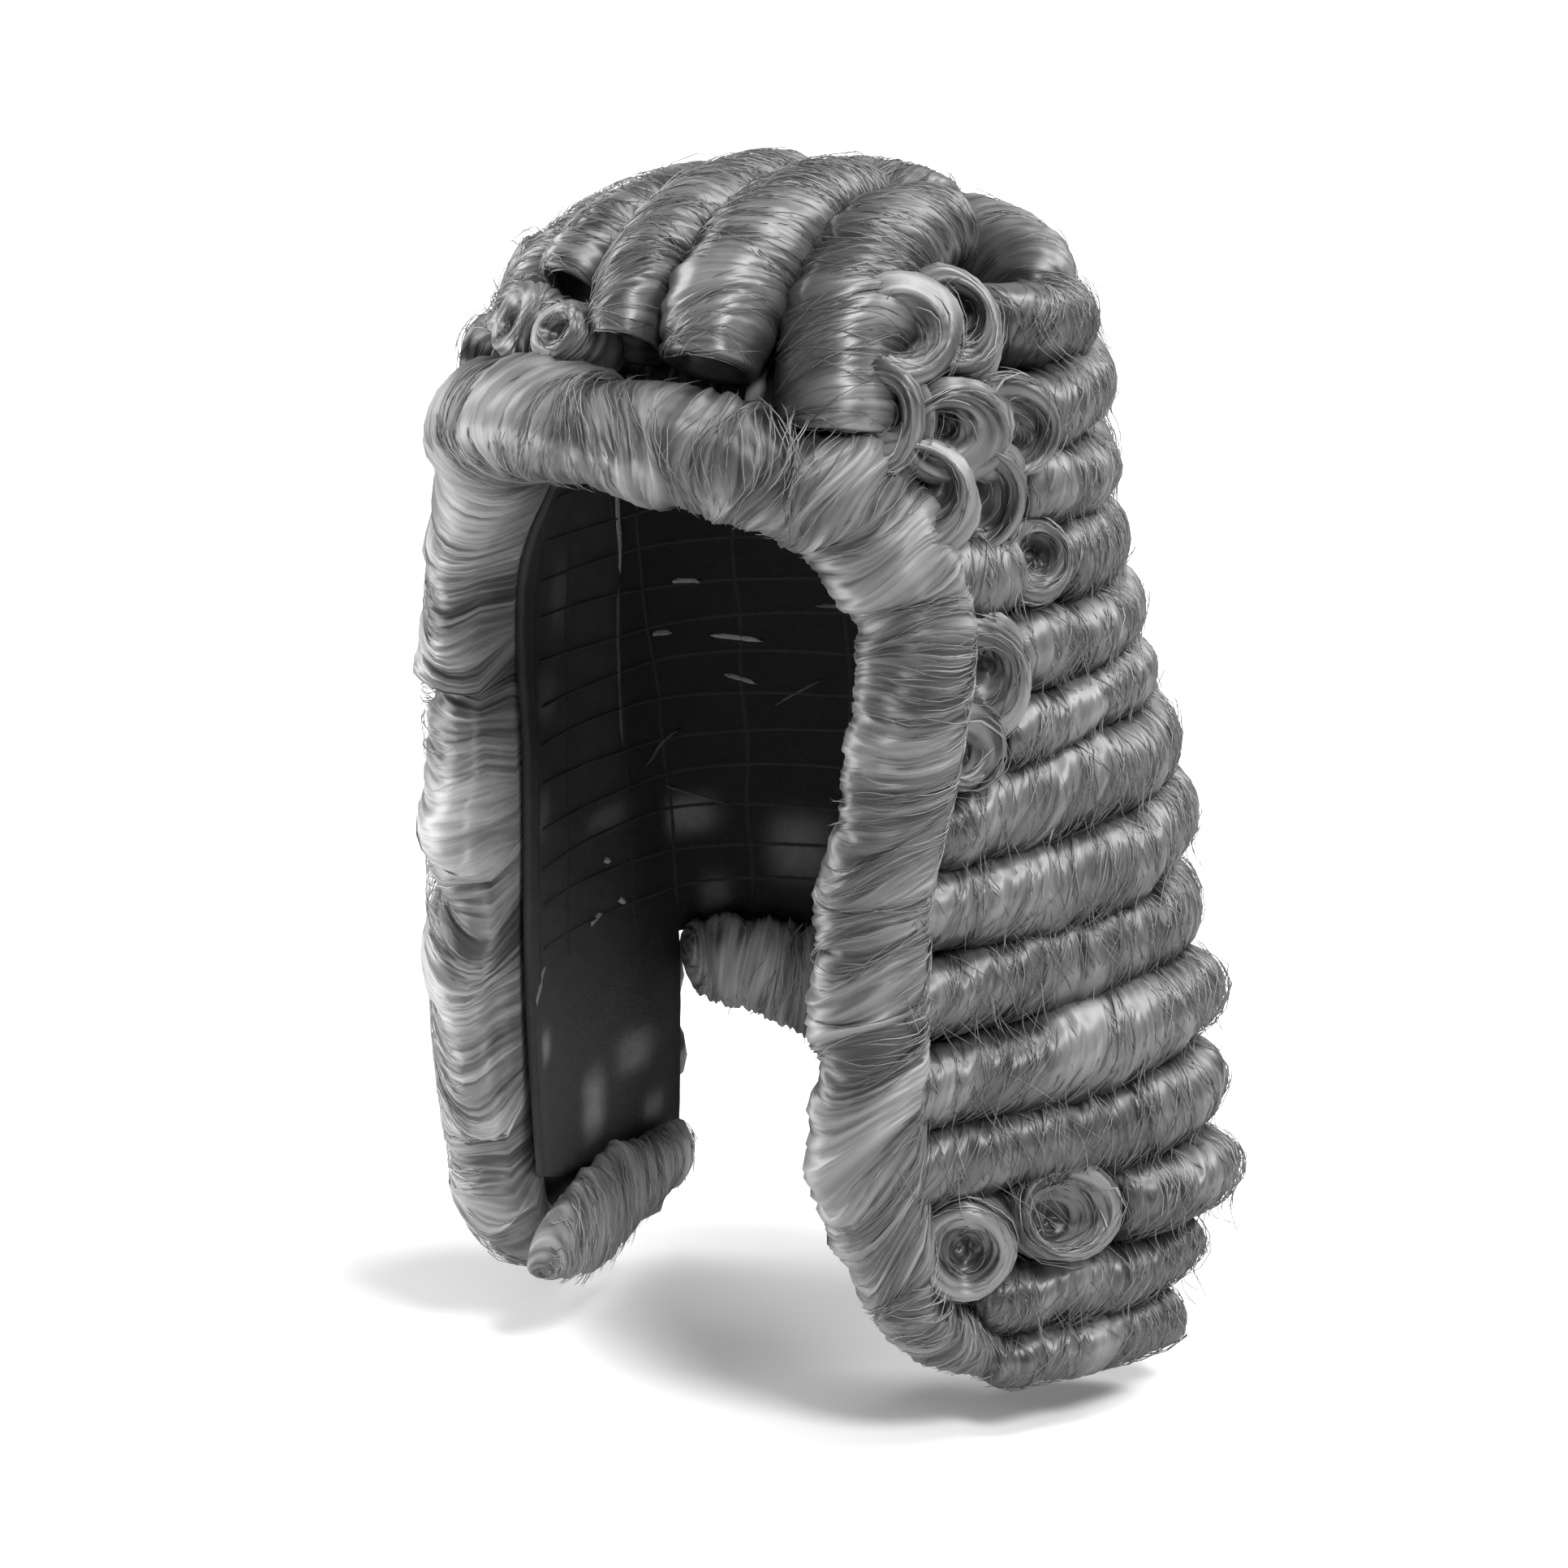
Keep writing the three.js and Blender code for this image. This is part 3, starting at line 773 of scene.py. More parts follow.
    def angles(self) -> Array:
        """The angles of the skin's points, closer together where the hair is seen."""
        if self.all_round:
            return np.linspace(-math.pi, math.pi, RING_SIDES, endpoint=False)
        seen = np.linspace(-SEEN_EDGE, SEEN_EDGE, SEEN_SIDES)
        hidden = np.linspace(SEEN_EDGE, CIRCLE - SEEN_EDGE, HIDDEN_SIDES + 2)[1:-1]
        return np.concatenate([seen, hidden]) + self.style.facing

    def skin(self) -> Patch:
        """The roll's closed skin: a combed surface, with one column of points for each lock.

        The profile is turned round the spine on a grid of columns by angles. Each column follows the combed
        hair, and stands up or lies low with its tufts: fine hairs, locks with flat tops and deep partings,
        and broad lumps. Each end is closed by a fan.

        Returns:
            The skin.
        """
        style = self.style
        theta = self.angles()
        sides, columns = len(theta), max(FEWEST_COLUMNS, int(self.length / style.comb))
        start = (np.arange(columns) + self.rng.uniform(0.2, 0.8, columns)) * self.length / columns
        turned, start = wrapped(theta), start[:, None]
        # Angles drawn round the roll and columns averaged, for each kind of tuft.
        fine, locks, lumps, flecks, bands = (
            self.tufts(columns, turned, spans, width)
            for spans, width in ((9, 1), (8, 3), (3, style.lump_width), (8, 1), (5, 5))
        )
        grid_theta = np.broadcast_to(theta, (columns, sides))
        place = self.combed(start, grid_theta)
        on_wall = self.on_wall(start, outside=6.0, inside=4.0)
        coil = np.sin(CIRCLE * start / style.spiral_step + grid_theta + 2.0 * self.phase(start))
        coil = coil * (1.0 if self.all_round else 1.0 - on_wall)
        lift = style.fine * fine + style.lock * np.minimum(locks, LOCK_TOP) + style.lump * lumps
        lift = lift * between(END_RELIEF, 1.0, on_wall) + style.spiral * coil
        if not self.all_round:
            lift = lift * (1.0 - shade_step(*RELIEF_FADE, np.abs(wrapped(theta - style.facing))))
        grid = self.point(place, grid_theta, lift)
        points = np.concatenate([grid.reshape(-1, 3), grid[[0, -1]].mean(axis=1)])
        along = (np.abs(turned) if self.all_round else theta) * self.spine.radius
        uv = np.stack(np.broadcast_arrays(start, along), axis=-1).reshape(-1, 2) / UV_UNIT
        # The tone varies at random with flecks, bands and lumps, and holds painted shade from the locks, the
        # coils and shade().
        tone = 1.0 + style.spread * (flecks + BAND_TONE * bands) + style.mottle * lumps
        tone = tone + LOCK_TONE * np.minimum(locks, LOCK_BRIGHT) + COIL_TONE * coil
        tone = style.light * np.clip(tone, *TONES) * self.shade(place, grid_theta)
        tone = np.append(tone.ravel(), [POLE_TONE, POLE_TONE])
        quads, fans = tube_faces(columns, sides, 0, (columns * sides, columns * sides + 1))
        if self.spine.right_handed:
            quads, fans = quads[:, ::-1], fans[:, ::-1]
        return Patch(points, quads, fans, np.vstack([uv, uv[[0, -1]]]), tone)

    def laid(self, q: Array, theta: Array, lift: Array, way: Array, crosses: bool) -> Patch:
        """Lays strands through places of the roll, widest in the middle, each with a lightness of its own.

        Args:
            q: places along the profile, strands by steps.
            theta: their angles round the spine.
            lift: their heights over the profile.
            way: the way along each strand, in radii.
            crosses: whether the strands leave the roll, which keeps them out of its painted shade.

        Returns:
            The strands.
        """
        style, rng = self.style, self.rng
        mean, least = (1.1, 0.08) if crosses else (1.15, 0.05)
        t = np.linspace(0.0, 1.0, q.shape[1])
        width = style.strand_half * np.sqrt(np.clip(1.0 - np.abs(2.0 * t - 1.0) ** 3, 0.0, 1.0))
        across = (q - width, q, q + width)
        sides = [self.point(place, theta, lift + up) for place, up in zip(across, (0.0, RIDGE, 0.0))]
        shift = rng.uniform(0.0, STREAK_RANGE, (len(q), 1))
        along = way * self.spine.radius / UV_UNIT + (0.0 if crosses else shift)
        uv = [np.stack([place / UV_UNIT + shift, along], axis=-1) for place in across]
        own = style.light * (mean + OWN_SPREAD * style.spread * rng.normal(0.0, 1.0, (len(q), 1)))
        tone = np.clip(own, least, 1.0) * (np.ones(q.shape) if crosses else self.shade(q, theta))
        return strand_patch(sides, uv, tone, self.spine.right_handed != crosses)

    def strands(self) -> Patch:
        """Loose strands on the skin.

        A strand follows the combed hair for a part of the way round, floats a little above the skin, is
        widest in the middle, and a few stand off at one end.

        Returns:
            All the strands.
        """
        style, rng = self.style, self.rng
        one_each = (max(3, int(style.strands * self.length)), 1)
        start = rng.uniform(0.0, self.length, one_each)
        middle = style.facing + rng.uniform(-STRAND_MIDDLE, STRAND_MIDDLE, one_each)
        if self.all_round:
            middle = rng.uniform(-math.pi, math.pi, one_each)
        reach = style.strand_reach * rng.uniform(*STRAND_LENGTHS, one_each)
        t = np.linspace(0.0, 1.0, style.strand_steps + 1)[None, :]
        theta = middle + reach * (t - 0.5)
        if not self.all_round:
            # A strand that is cut off at the edge keeps a little length.
            theta = np.clip(theta, style.facing - STRAND_EDGE, style.facing + STRAND_EDGE) + 0.01 * t
        stray = rng.normal(0.0, style.tangle, one_each) * (theta - middle) * self.spine.radius
        crimp = style.crimp * np.sin(style.crimp_count * theta + rng.uniform(0.0, CIRCLE, one_each))
        q = self.combed(start, theta) + stray + crimp
        q = np.clip(q, STRAND_MARGIN, self.length - STRAND_MARGIN)
        stands = rng.uniform(0.0, 1.0, one_each) < style.loose
        loose = np.where(stands, rng.uniform(*LOOSE_LIFTS, one_each), 0.0)
        lift = rng.uniform(*STRAND_LIFTS, one_each) + loose * style.loose_lift * t**2
        return self.laid(q, theta, lift, theta, crosses=False)

    def crossings(self) -> Patch:
        """Stray strands that leave the roll and cross the crease below it.

        In the section, a strand goes down in an even step and sags into the crease as a cosine wave does. It
        drifts along the roll on the way.

        Returns:
            All the strands.
        """
        style, rng = self.style, self.rng
        one_each = (max(2, int(style.crossing * self.length)), 1)
        start = rng.uniform(*self.wall, one_each)
        top = rng.uniform(*CROSS_TOPS, one_each)
        drop = style.crossing_reach * rng.uniform(*CROSS_LENGTHS, one_each)
        t = np.linspace(0.0, 1.0, style.strand_steps + 3)[None, :]
        down = top - drop * t
        sag = rng.uniform(*CROSS_SAGS, one_each) * eased(2.0 * down / style.crossing_reach)
        out = 1.0 - sag - CROSS_TUCK * np.maximum(down, 0.0)
        lift = (np.hypot(out, down) - 1.0) * self.spine.radius + CROSS_LIFT
        lean = rng.normal(*CROSS_LEAN, one_each)
        bow = rng.normal(*CROSS_BOW, one_each)
        q = start - lean * drop * t * self.spine.radius + bow * t * (1.0 - t)
        return self.laid(np.clip(q, *self.wall), np.arctan2(down, out), lift, down, crosses=True)

    def patch(self) -> Patch:
        """The skin and its loose strands together."""
        parts = [self.skin(), self.strands()]
        if self.style.crossing and not self.all_round:
            parts.append(self.crossings())
        return Patch.joined(parts)


# A CAD node's name with the rolls that dress it.
Dressing = tuple[str, list[Roll]]


class NodeBench:
    """Sets nodes and links into one shader tree."""

    def __init__(self, tree: bpy.types.NodeTree) -> None:
        """Takes the tree that it works on."""
        self.tree = tree

    def add(self, kind: str, **inputs: object) -> bpy.types.Node:
        """Adds a node and fills its inputs."""
        return self.fill(self.tree.nodes.new(kind), **inputs)

    def fill(self, node: bpy.types.Node, **inputs: object) -> bpy.types.Node:
        """Fills a node's inputs with values or sockets, by name with spaces written as underscores."""
        for name, value in inputs.items():
            self.feed(node.inputs[name.replace("_", " ")], value)
        return node

    def math(self, operation: str, *values: object) -> bpy.types.NodeSocket:
        """Adds a Math node on up to three values or sockets and gives its result."""
        node = self.tree.nodes.new("ShaderNodeMath")
        node.operation = operation
        for socket, value in zip(node.inputs, values):
            self.feed(socket, value)
        return node.outputs[0]

    def blend(self, share: object, first: object, second: object) -> bpy.types.NodeSocket:
        """Adds a colour Mix node and gives its result."""
        node = self.tree.nodes.new("ShaderNodeMix")
        node.data_type = "RGBA"
        for socket, value in ((node.inputs[0], share), (node.inputs[6], first), (node.inputs[7], second)):
            self.feed(socket, value)
        return node.outputs[2]

    def feed(self, socket: bpy.types.NodeSocket, value: object) -> None:
        """Links a socket to another, or gives it a value."""
        if isinstance(value, bpy.types.NodeSocket):
            self.tree.links.new(value, socket)
        else:
            socket.default_value = value


def grey(value: float) -> tuple[float, float, float, float]:
    """A neutral colour of a linear brightness."""
    return (value, value, value, 1.0)


def open_group(name: str, inputs: Sequence[str], outputs: Sequence[str]) -> tuple:
    """Starts a shader group that takes a place and numbers, and gives numbers.

    Args:
        name: the group's name.
        inputs: the names of its numbers, which follow the vector Place.
        outputs: the names of its results.

    Returns:
        The tree, a bench on it, the sockets that bring its inputs and the node that takes its results.
    """
    tree = bpy.data.node_groups.new(name, "ShaderNodeTree")
    tree.interface.new_socket("Place", in_out="INPUT", socket_type="NodeSocketVector")
    for way, names in (("INPUT", inputs), ("OUTPUT", outputs)):
        for socket in names:
            tree.interface.new_socket(socket, in_out=way, socket_type="NodeSocketFloat")
    given = tree.nodes.new("NodeGroupInput").outputs
    return tree, NodeBench(tree), given, tree.nodes.new("NodeGroupOutput")


@cache
def streaks_group() -> bpy.types.NodeTree:
    """Single hairs on the strands: noise drawn out along the hair.

    The place on the hair, in centimetres across and along it, is stretched so that the noise is fine across
    and long along. Two sizes of it are added. Streak is the mean lightness and Height the relief.

    Returns:
        The group, made once.
    """
    tree, bench, given, sink = open_group("hair_streaks", ("Across", "Along"), ("Streak", "Height"))
    scale = bench.add("ShaderNodeCombineXYZ", X=given["Across"], Y=given["Along"])
    stretched = tree.nodes.new("ShaderNodeVectorMath")
    stretched.operation = "MULTIPLY"
    bench.feed(stretched.inputs[0], given["Place"])
    bench.feed(stretched.inputs[1], scale.outputs[0])
    place = stretched.outputs[0]
    fine = bench.add("ShaderNodeTexNoise", Vector=place, Scale=1.0, Detail=2.0, Roughness=0.6).outputs[0]
    broad = bench.add("ShaderNodeTexNoise", Vector=place, Scale=0.23, Detail=1.0, Roughness=0.5).outputs[0]
    mean = bench.math("MULTIPLY_ADD", fine, 0.6, bench.math("MULTIPLY", broad, 0.4))
    bench.fill(sink, Streak=mean, Height=fine)
    return tree


@cache
def weave_group() -> bpy.types.NodeTree:
    """A plain weave: two crossed waves, with slubs from noise.

    Returns:
        The group, made once, with the raised thread as Height and the uneven dye as Shade.
    """
    tree, bench, given, sink = open_group("cloth_weave", ("Threads", "Cloud"), ("Height", "Shade"))
    place = given["Place"]
    split = bench.add("ShaderNodeSeparateXYZ", Vector=place)
    warp, weft = (
        bench.math("SINE", bench.math("MULTIPLY", way, given["Threads"])) for way in split.outputs[:2]
    )
    threads = bench.math("MULTIPLY", warp, weft)
    slub = bench.add("ShaderNodeTexNoise", Vector=place, Scale=given["Cloud"], Detail=5.0, Roughness=0.65)
    shade = slub.outputs[0]
    bench.fill(sink, Height=bench.math("MULTIPLY_ADD", threads, 0.5, shade), Shade=shade)
    return tree


def start_material(name: str, group: bpy.types.NodeTree, **inputs: float) -> tuple:
    """Starts a material with a shared group that reads the place on the hair.

    Args:
        name: the material's name.
        group: the group.
        inputs: the group's numbers by name.

    Returns:
        The material, a bench on its tree, its shader, the socket of the points' tone and the group's results.
    """
    material = bpy.data.materials.new(name)
    material.use_nodes = True
    tree = material.node_tree
    bench = NodeBench(tree)
    place = tree.nodes.new("ShaderNodeUVMap")
    place.uv_map = UV_MAP
    own = tree.nodes.new("ShaderNodeAttribute")
    own.attribute_name = TONE
    pattern = tree.nodes.new("ShaderNodeGroup")
    pattern.node_tree = group
    bench.fill(pattern, Place=place.outputs[0], **inputs)
    return material, bench, tree.nodes["Principled BSDF"], own.outputs["Fac"], pattern.outputs


@dataclass(frozen=True)
class HairFinish:
    """Grey hair: light and dark single hairs under a soft gloss."""

    name: str
    dark: float = 0.015
    light: float = 0.50
    contrast: float = 1.6
    across: float = 26.0
    along: float = 0.35
    roughness: float = 0.42
    rough_spread: float = 0.25
    rough_drop: float = 0.12
    gloss: float = 1.0
    grain: float = 0.85

    def material(self) -> bpy.types.Material:
        """Builds the material: the points' tone, which holds painted shade, plus streaks mixes a dark and a
        light grey.

        Returns:
            The material.
        """
        material, bench, shader, own, streaks = start_material(
            self.name, streaks_group(), Across=self.across, Along=self.along
        )
        swing = bench.math("MULTIPLY", bench.math("SUBTRACT", streaks["Streak"], 0.5), self.contrast)
        share = bench.math("MULTIPLY_ADD", swing, own, own)
        level = bench.math("MAXIMUM", bench.math("MINIMUM", share, 1.0), 0.0)
        colour = bench.blend(level, grey(self.dark), grey(self.light))
        least = self.roughness - self.rough_drop
        rough = bench.math("MULTIPLY_ADD", streaks["Height"], self.rough_spread, least)
        across = bench.add("ShaderNodeTangent")
        across.direction_type = "UV_MAP"
        across.uv_map = UV_MAP
        bench.fill(shader, Base_Color=colour, Roughness=rough, Specular_IOR_Level=self.gloss)
        bench.fill(shader, Tangent=across.outputs[0], Anisotropic=self.grain)
        return material


@dataclass(frozen=True)
class ClothFinish:
    """Black lining cloth: a plain weave, worn a little pale where its tone says so."""

    name: str
    dye: float = 0.007
    # The darkest and the lightest of the uneven dye, as shares of it.
    dye_range: Pair = (0.45, 1.7)
    pale: float = 0.30
    wear_floor: float = 0.45
    roughness: float = 0.72
    rough_spread: float = 0.2
    threads: float = 60.0
    cloud: float = 0.9
    gloss: float = 0.25
    relief: float = 0.4 * MM

    def material(self) -> bpy.types.Material:
        """Builds the material: the weave's relief and uneven dye, lightened by the point value tone.

        Returns:
            The material.
        """
        material, bench, shader, own, weave = start_material(
            self.name, weave_group(), Threads=self.threads, Cloud=self.cloud
        )
        shade = weave["Shade"]
        dyed = bench.blend(shade, *(grey(share * self.dye) for share in self.dye_range))
        worn = bench.math("MULTIPLY", own, bench.math("ADD", shade, self.wear_floor))
        colour = bench.blend(worn, dyed, grey(self.pale))
        rough = bench.math("MULTIPLY_ADD", shade, self.rough_spread, self.roughness)
        bump = bench.add("ShaderNodeBump", Strength=0.5, Height=weave["Height"], Distance=self.relief)
        bench.fill(shader, Base_Color=colour, Roughness=rough, Normal=bump.outputs[0])
        bench.fill(shader, Specular_IOR_Level=self.gloss)
        return material


def add_piece(node: str, patch: Patch, materials: Sequence[bpy.types.Material]) -> int:
    """Makes a piece of the wig that stands for one CAD node.

    Args:
        node: the CAD node.
        patch: the mesh.
        materials: its materials, in the order of the patch's finishes.

    Returns:
        The number of its triangles.
    """
    piece = bpy.data.objects.new(f"{node}_dressed", patch.mesh(f"{node}_mesh"))
    bpy.context.scene.collection.objects.link(piece)
    for material in materials:
        piece.data.materials.append(material)
    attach(piece, BODY)
    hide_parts(node)
    LOG.info("%s: %d triangles", piece.name, patch.triangles)
    return patch.triangles


@dataclass
class HairAssembly:
    """A family of hair pieces that share a finish and a way of lying."""

    head: HeadForm
    material: bpy.types.Material
    style: StrandStyle = StrandStyle()

    def rolls(self) -> Iterator[Dressing]:
        """Gives each CAD node's name with the rolls that dress it."""
        raise NotImplementedError

    def one_roll(
        self, node: str, spine: Spine, start: End = End.ROUND, end: End = End.ROUND, **more: object
    ) -> Dressing:
        """Gives a node with one roll along a spine, which draws the node's own random numbers."""
        return node, [Roll(spine, start, end, self.style, seeded(node), **more)]

    def dress(self) -> int:
        """Builds every piece of the family and counts their triangles."""
        return sum(
            add_piece(node, Patch.joined([roll.patch() for roll in rolls]), [self.material])
            for node, rolls in self.rolls()
        )

    def row_spine(
        self, turns: Array, z: Array, half: Array, depth: Array, offset: Array | None = None
    ) -> Spine:
        """A line that follows the cloth at a distance, with sections square to it.

        Args:
            turns: the stations' turns.
            z: their heights.
            half: half the height of the sections.
            depth: half their thickness.
            offset: the distance from the cloth's inner face, or none for sections that lie on the cloth.

        Returns:
            The spine.
        """
        offset = CLOTH + GAP + depth if offset is None else offset
        z, half, depth, offset = (np.broadcast_to(value, turns.shape) for value in (z, half, depth, offset))
        out = self.head.cap_normal(turns, z)
        centre = self.head.cap(turns, z) + offset[:, None] * out
        up = np.cross(out, self.head.cap_along(turns, z))
        return Spine(centre, depth[:, None] * out, half[:, None] * up)


@dataclass
class FrontBorder(HairAssembly):
    """The band of hair round the face, brushed back from the opening."""

    depth: float = 22.5
    half_width: float = 20.0
    # How far the band stays off the cloth.
    clear: float = 4.0 * GAP
    # Shares of the band's length from a foot to the forehead, each with the size of its thickness, of its
    # width away from the opening and of its width towards the opening.
    sizes: Table = (
        (0.0, 0.60, 0.6, 0.6), (0.05, 0.72, 0.6, 0.8), (0.12, 0.76, 0.4, 1.4), (0.28, 0.74, 0.25, 1.5),
        (0.34, 0.78, 0.4, 1.4), (0.39, 0.92, 1.3, 0.95), (0.44, 0.98, 1.15, 0.8), (0.5, 1.0, 1.0, 0.75),
    )
    stations: int = 160
    # Shares of the band's length from the left foot to the right one, each with the painted light on its hair
    # there.
    greys: Table = (
        (0.0, 1.05), (0.3, 1.15), (0.42, 0.8), (0.5, 0.75), (0.58, 0.9), (0.66, 1.8), (1.0, 1.8),
    )
    # Turn and height of the band's middle, from a lappet's foot to the middle of the forehead.
    line: Table = (
        (1.50, -426.0), (1.22, -396.0), (1.13, -340.0), (1.12, -280.0), (1.12, -220.0), (1.14, -160.0),
        (1.16, -116.0), (0.98, -82.0), (0.72, -63.0), (0.35, -56.0), (0.0, -55.0),
    )

    def rolls(self) -> Iterator[Dressing]:
        """One oval roll along the line and its mirror image."""
        turn, z = np.array(self.line).T
        turn, z = mirrored(turn, -turn), mirrored(z, z)
        nearer, thick, away, towards = np.array(self.sizes).T
        halves = tuple(zip(mirrored(nearer, 1.0 - nearer), mirrored(away, away), mirrored(towards, towards)))
        shares = np.linspace(0.0, 1.0, self.stations)
        depth = self.depth * np.interp(np.minimum(shares, 1.0 - shares), nearer, thick)[:, None]
        centre = smooth_line(self.head.cap(turn, z), shares)
        tangent = unit(np.gradient(centre, axis=0))
        out = smooth_line(self.head.cap_normal(turn, z), shares)
        out = unit(out - np.sum(out * tangent, axis=1, keepdims=True) * tangent)
        centre = centre + (CLOTH + self.clear + depth) * out
        spine = Spine(centre, depth * out, self.half_width * np.cross(tangent, out))
        yield self.one_roll("front_border", spine, halves=halves, greys=self.greys)


@dataclass
class CrownCurls(HairAssembly):
    """The long rolls over the crown, the short roll behind them and the two rings in front."""

    depth: float = 19.5
    fullness: float = 1.12
    bulge: float = 0.2
    stations: int = 30
    ring_foot: float = -0.7
    # Lean and way of both ends in degrees, then the half width at both ends.
    long_rolls: Table = (
        (-47.0, 40.0, -26.5, 107.0, 17.5, 11.5), (-23.0, 47.0, -22.0, 78.0, 12.0, 8.0),
        (0.0, 34.5, -12.0, 110.0, 14.0, 15.5), (19.0, 34.0, 7.0, 110.0, 17.5, 15.5),
        (46.5, 28.0, 24.0, 117.0, 20.0, 15.5),
    )
    back_roll: tuple[float, ...] = (-17.0, 121.0, 17.0, 121.0, 14.0, 14.0)
    # Lean, way and half width.
    rings: Table = ((-25.0, 36.0, 15.5), (-10.0, 33.5, 12.5))

    def spine(self, row: tuple[float, ...]) -> Spine:
        """The middle line of a roll, straight in lean and way between its two ends."""
        share = np.linspace(0.0, 1.0, self.stations)
        lean_from, way_from, lean_to, way_to, half_from, half_to = row
        lean, way = between(lean_from, lean_to, share), between(way_from, way_to, share)
        half = between(half_from, half_to, share) * (self.fullness + self.bulge * np.sin(math.pi * share))
        out = self.head.crown_normal(lean, way)
        foot = self.head.crown(lean, way)
        up = unit(np.cross(unit(np.gradient(foot, axis=0)), out))
        return Spine(foot + (CLOTH + GAP + self.depth) * out, self.depth * out, half[:, None] * up)

    def ring_spine(self, lean: float, way: float, half: float) -> Spine:
        """The middle line of a ring curl, which stands out from the dome."""
        leans, ways = np.full(3, lean), way + SMALL_ANGLE * np.array([-1.0, 0.0, 1.0])
        before, foot, after = self.head.crown(leans, ways)
        out = self.head.crown_normal(leans[1:2], ways[1:2])[0]
        up = unit(np.cross(unit(after - before), out))
        middle = foot + (CLOTH + GAP + self.depth) * out
        return ring_spine(middle, out, up, half, half, self.depth, self.ring_foot)

    def rolls(self) -> Iterator[Dressing]:
        """The rolls with hollow ends, then the rings."""
        for number, row in enumerate(self.long_rolls, start=1):
            yield self.one_roll(f"crown_roll_{number}", self.spine(row), End.HOLLOW)
        yield self.one_roll("top_curl", self.spine(self.back_roll), End.DISHED, End.DISHED)
        for number, ring in enumerate(self.rings, start=1):
            spine = self.ring_spine(*ring)
            yield self.one_roll(f"front_curl_{number}", spine, End.FOOT, End.DISHED, all_round=True)


def ring_spine(
    middle: Array, out: Array, up: Array,
    wide: float, half: float, depth: float, foot: float, stations: int = 4,
) -> Spine:
    """The middle line of a ring curl: straight out of the cloth, with the same section all along.

    Args:
        middle: the curl's middle.
        out: the direction away from the cloth.
        up: the direction of its height.
        wide: half its width along the row.
        half: half its height.
        depth: half its thickness.
        foot: where it starts, as a share of depth.
        stations: the number of sections.

    Returns:
        The spine.
    """
    along = np.cross(up, out)
    way = np.linspace(foot, 1.0, stations)[:, None] * depth
    return Spine(middle + way * out, np.tile(wide * along, (stations, 1)), np.tile(half * up, (stations, 1)))


@dataclass(frozen=True)
class CurlRow:
    """A row of curls: its height in front, its rise to the back, its curls' size, its ends and curls."""

    name: str
    z: float
    rise: float
    half: float
    depth: float
    begin: float
    finish: float
    curls: str


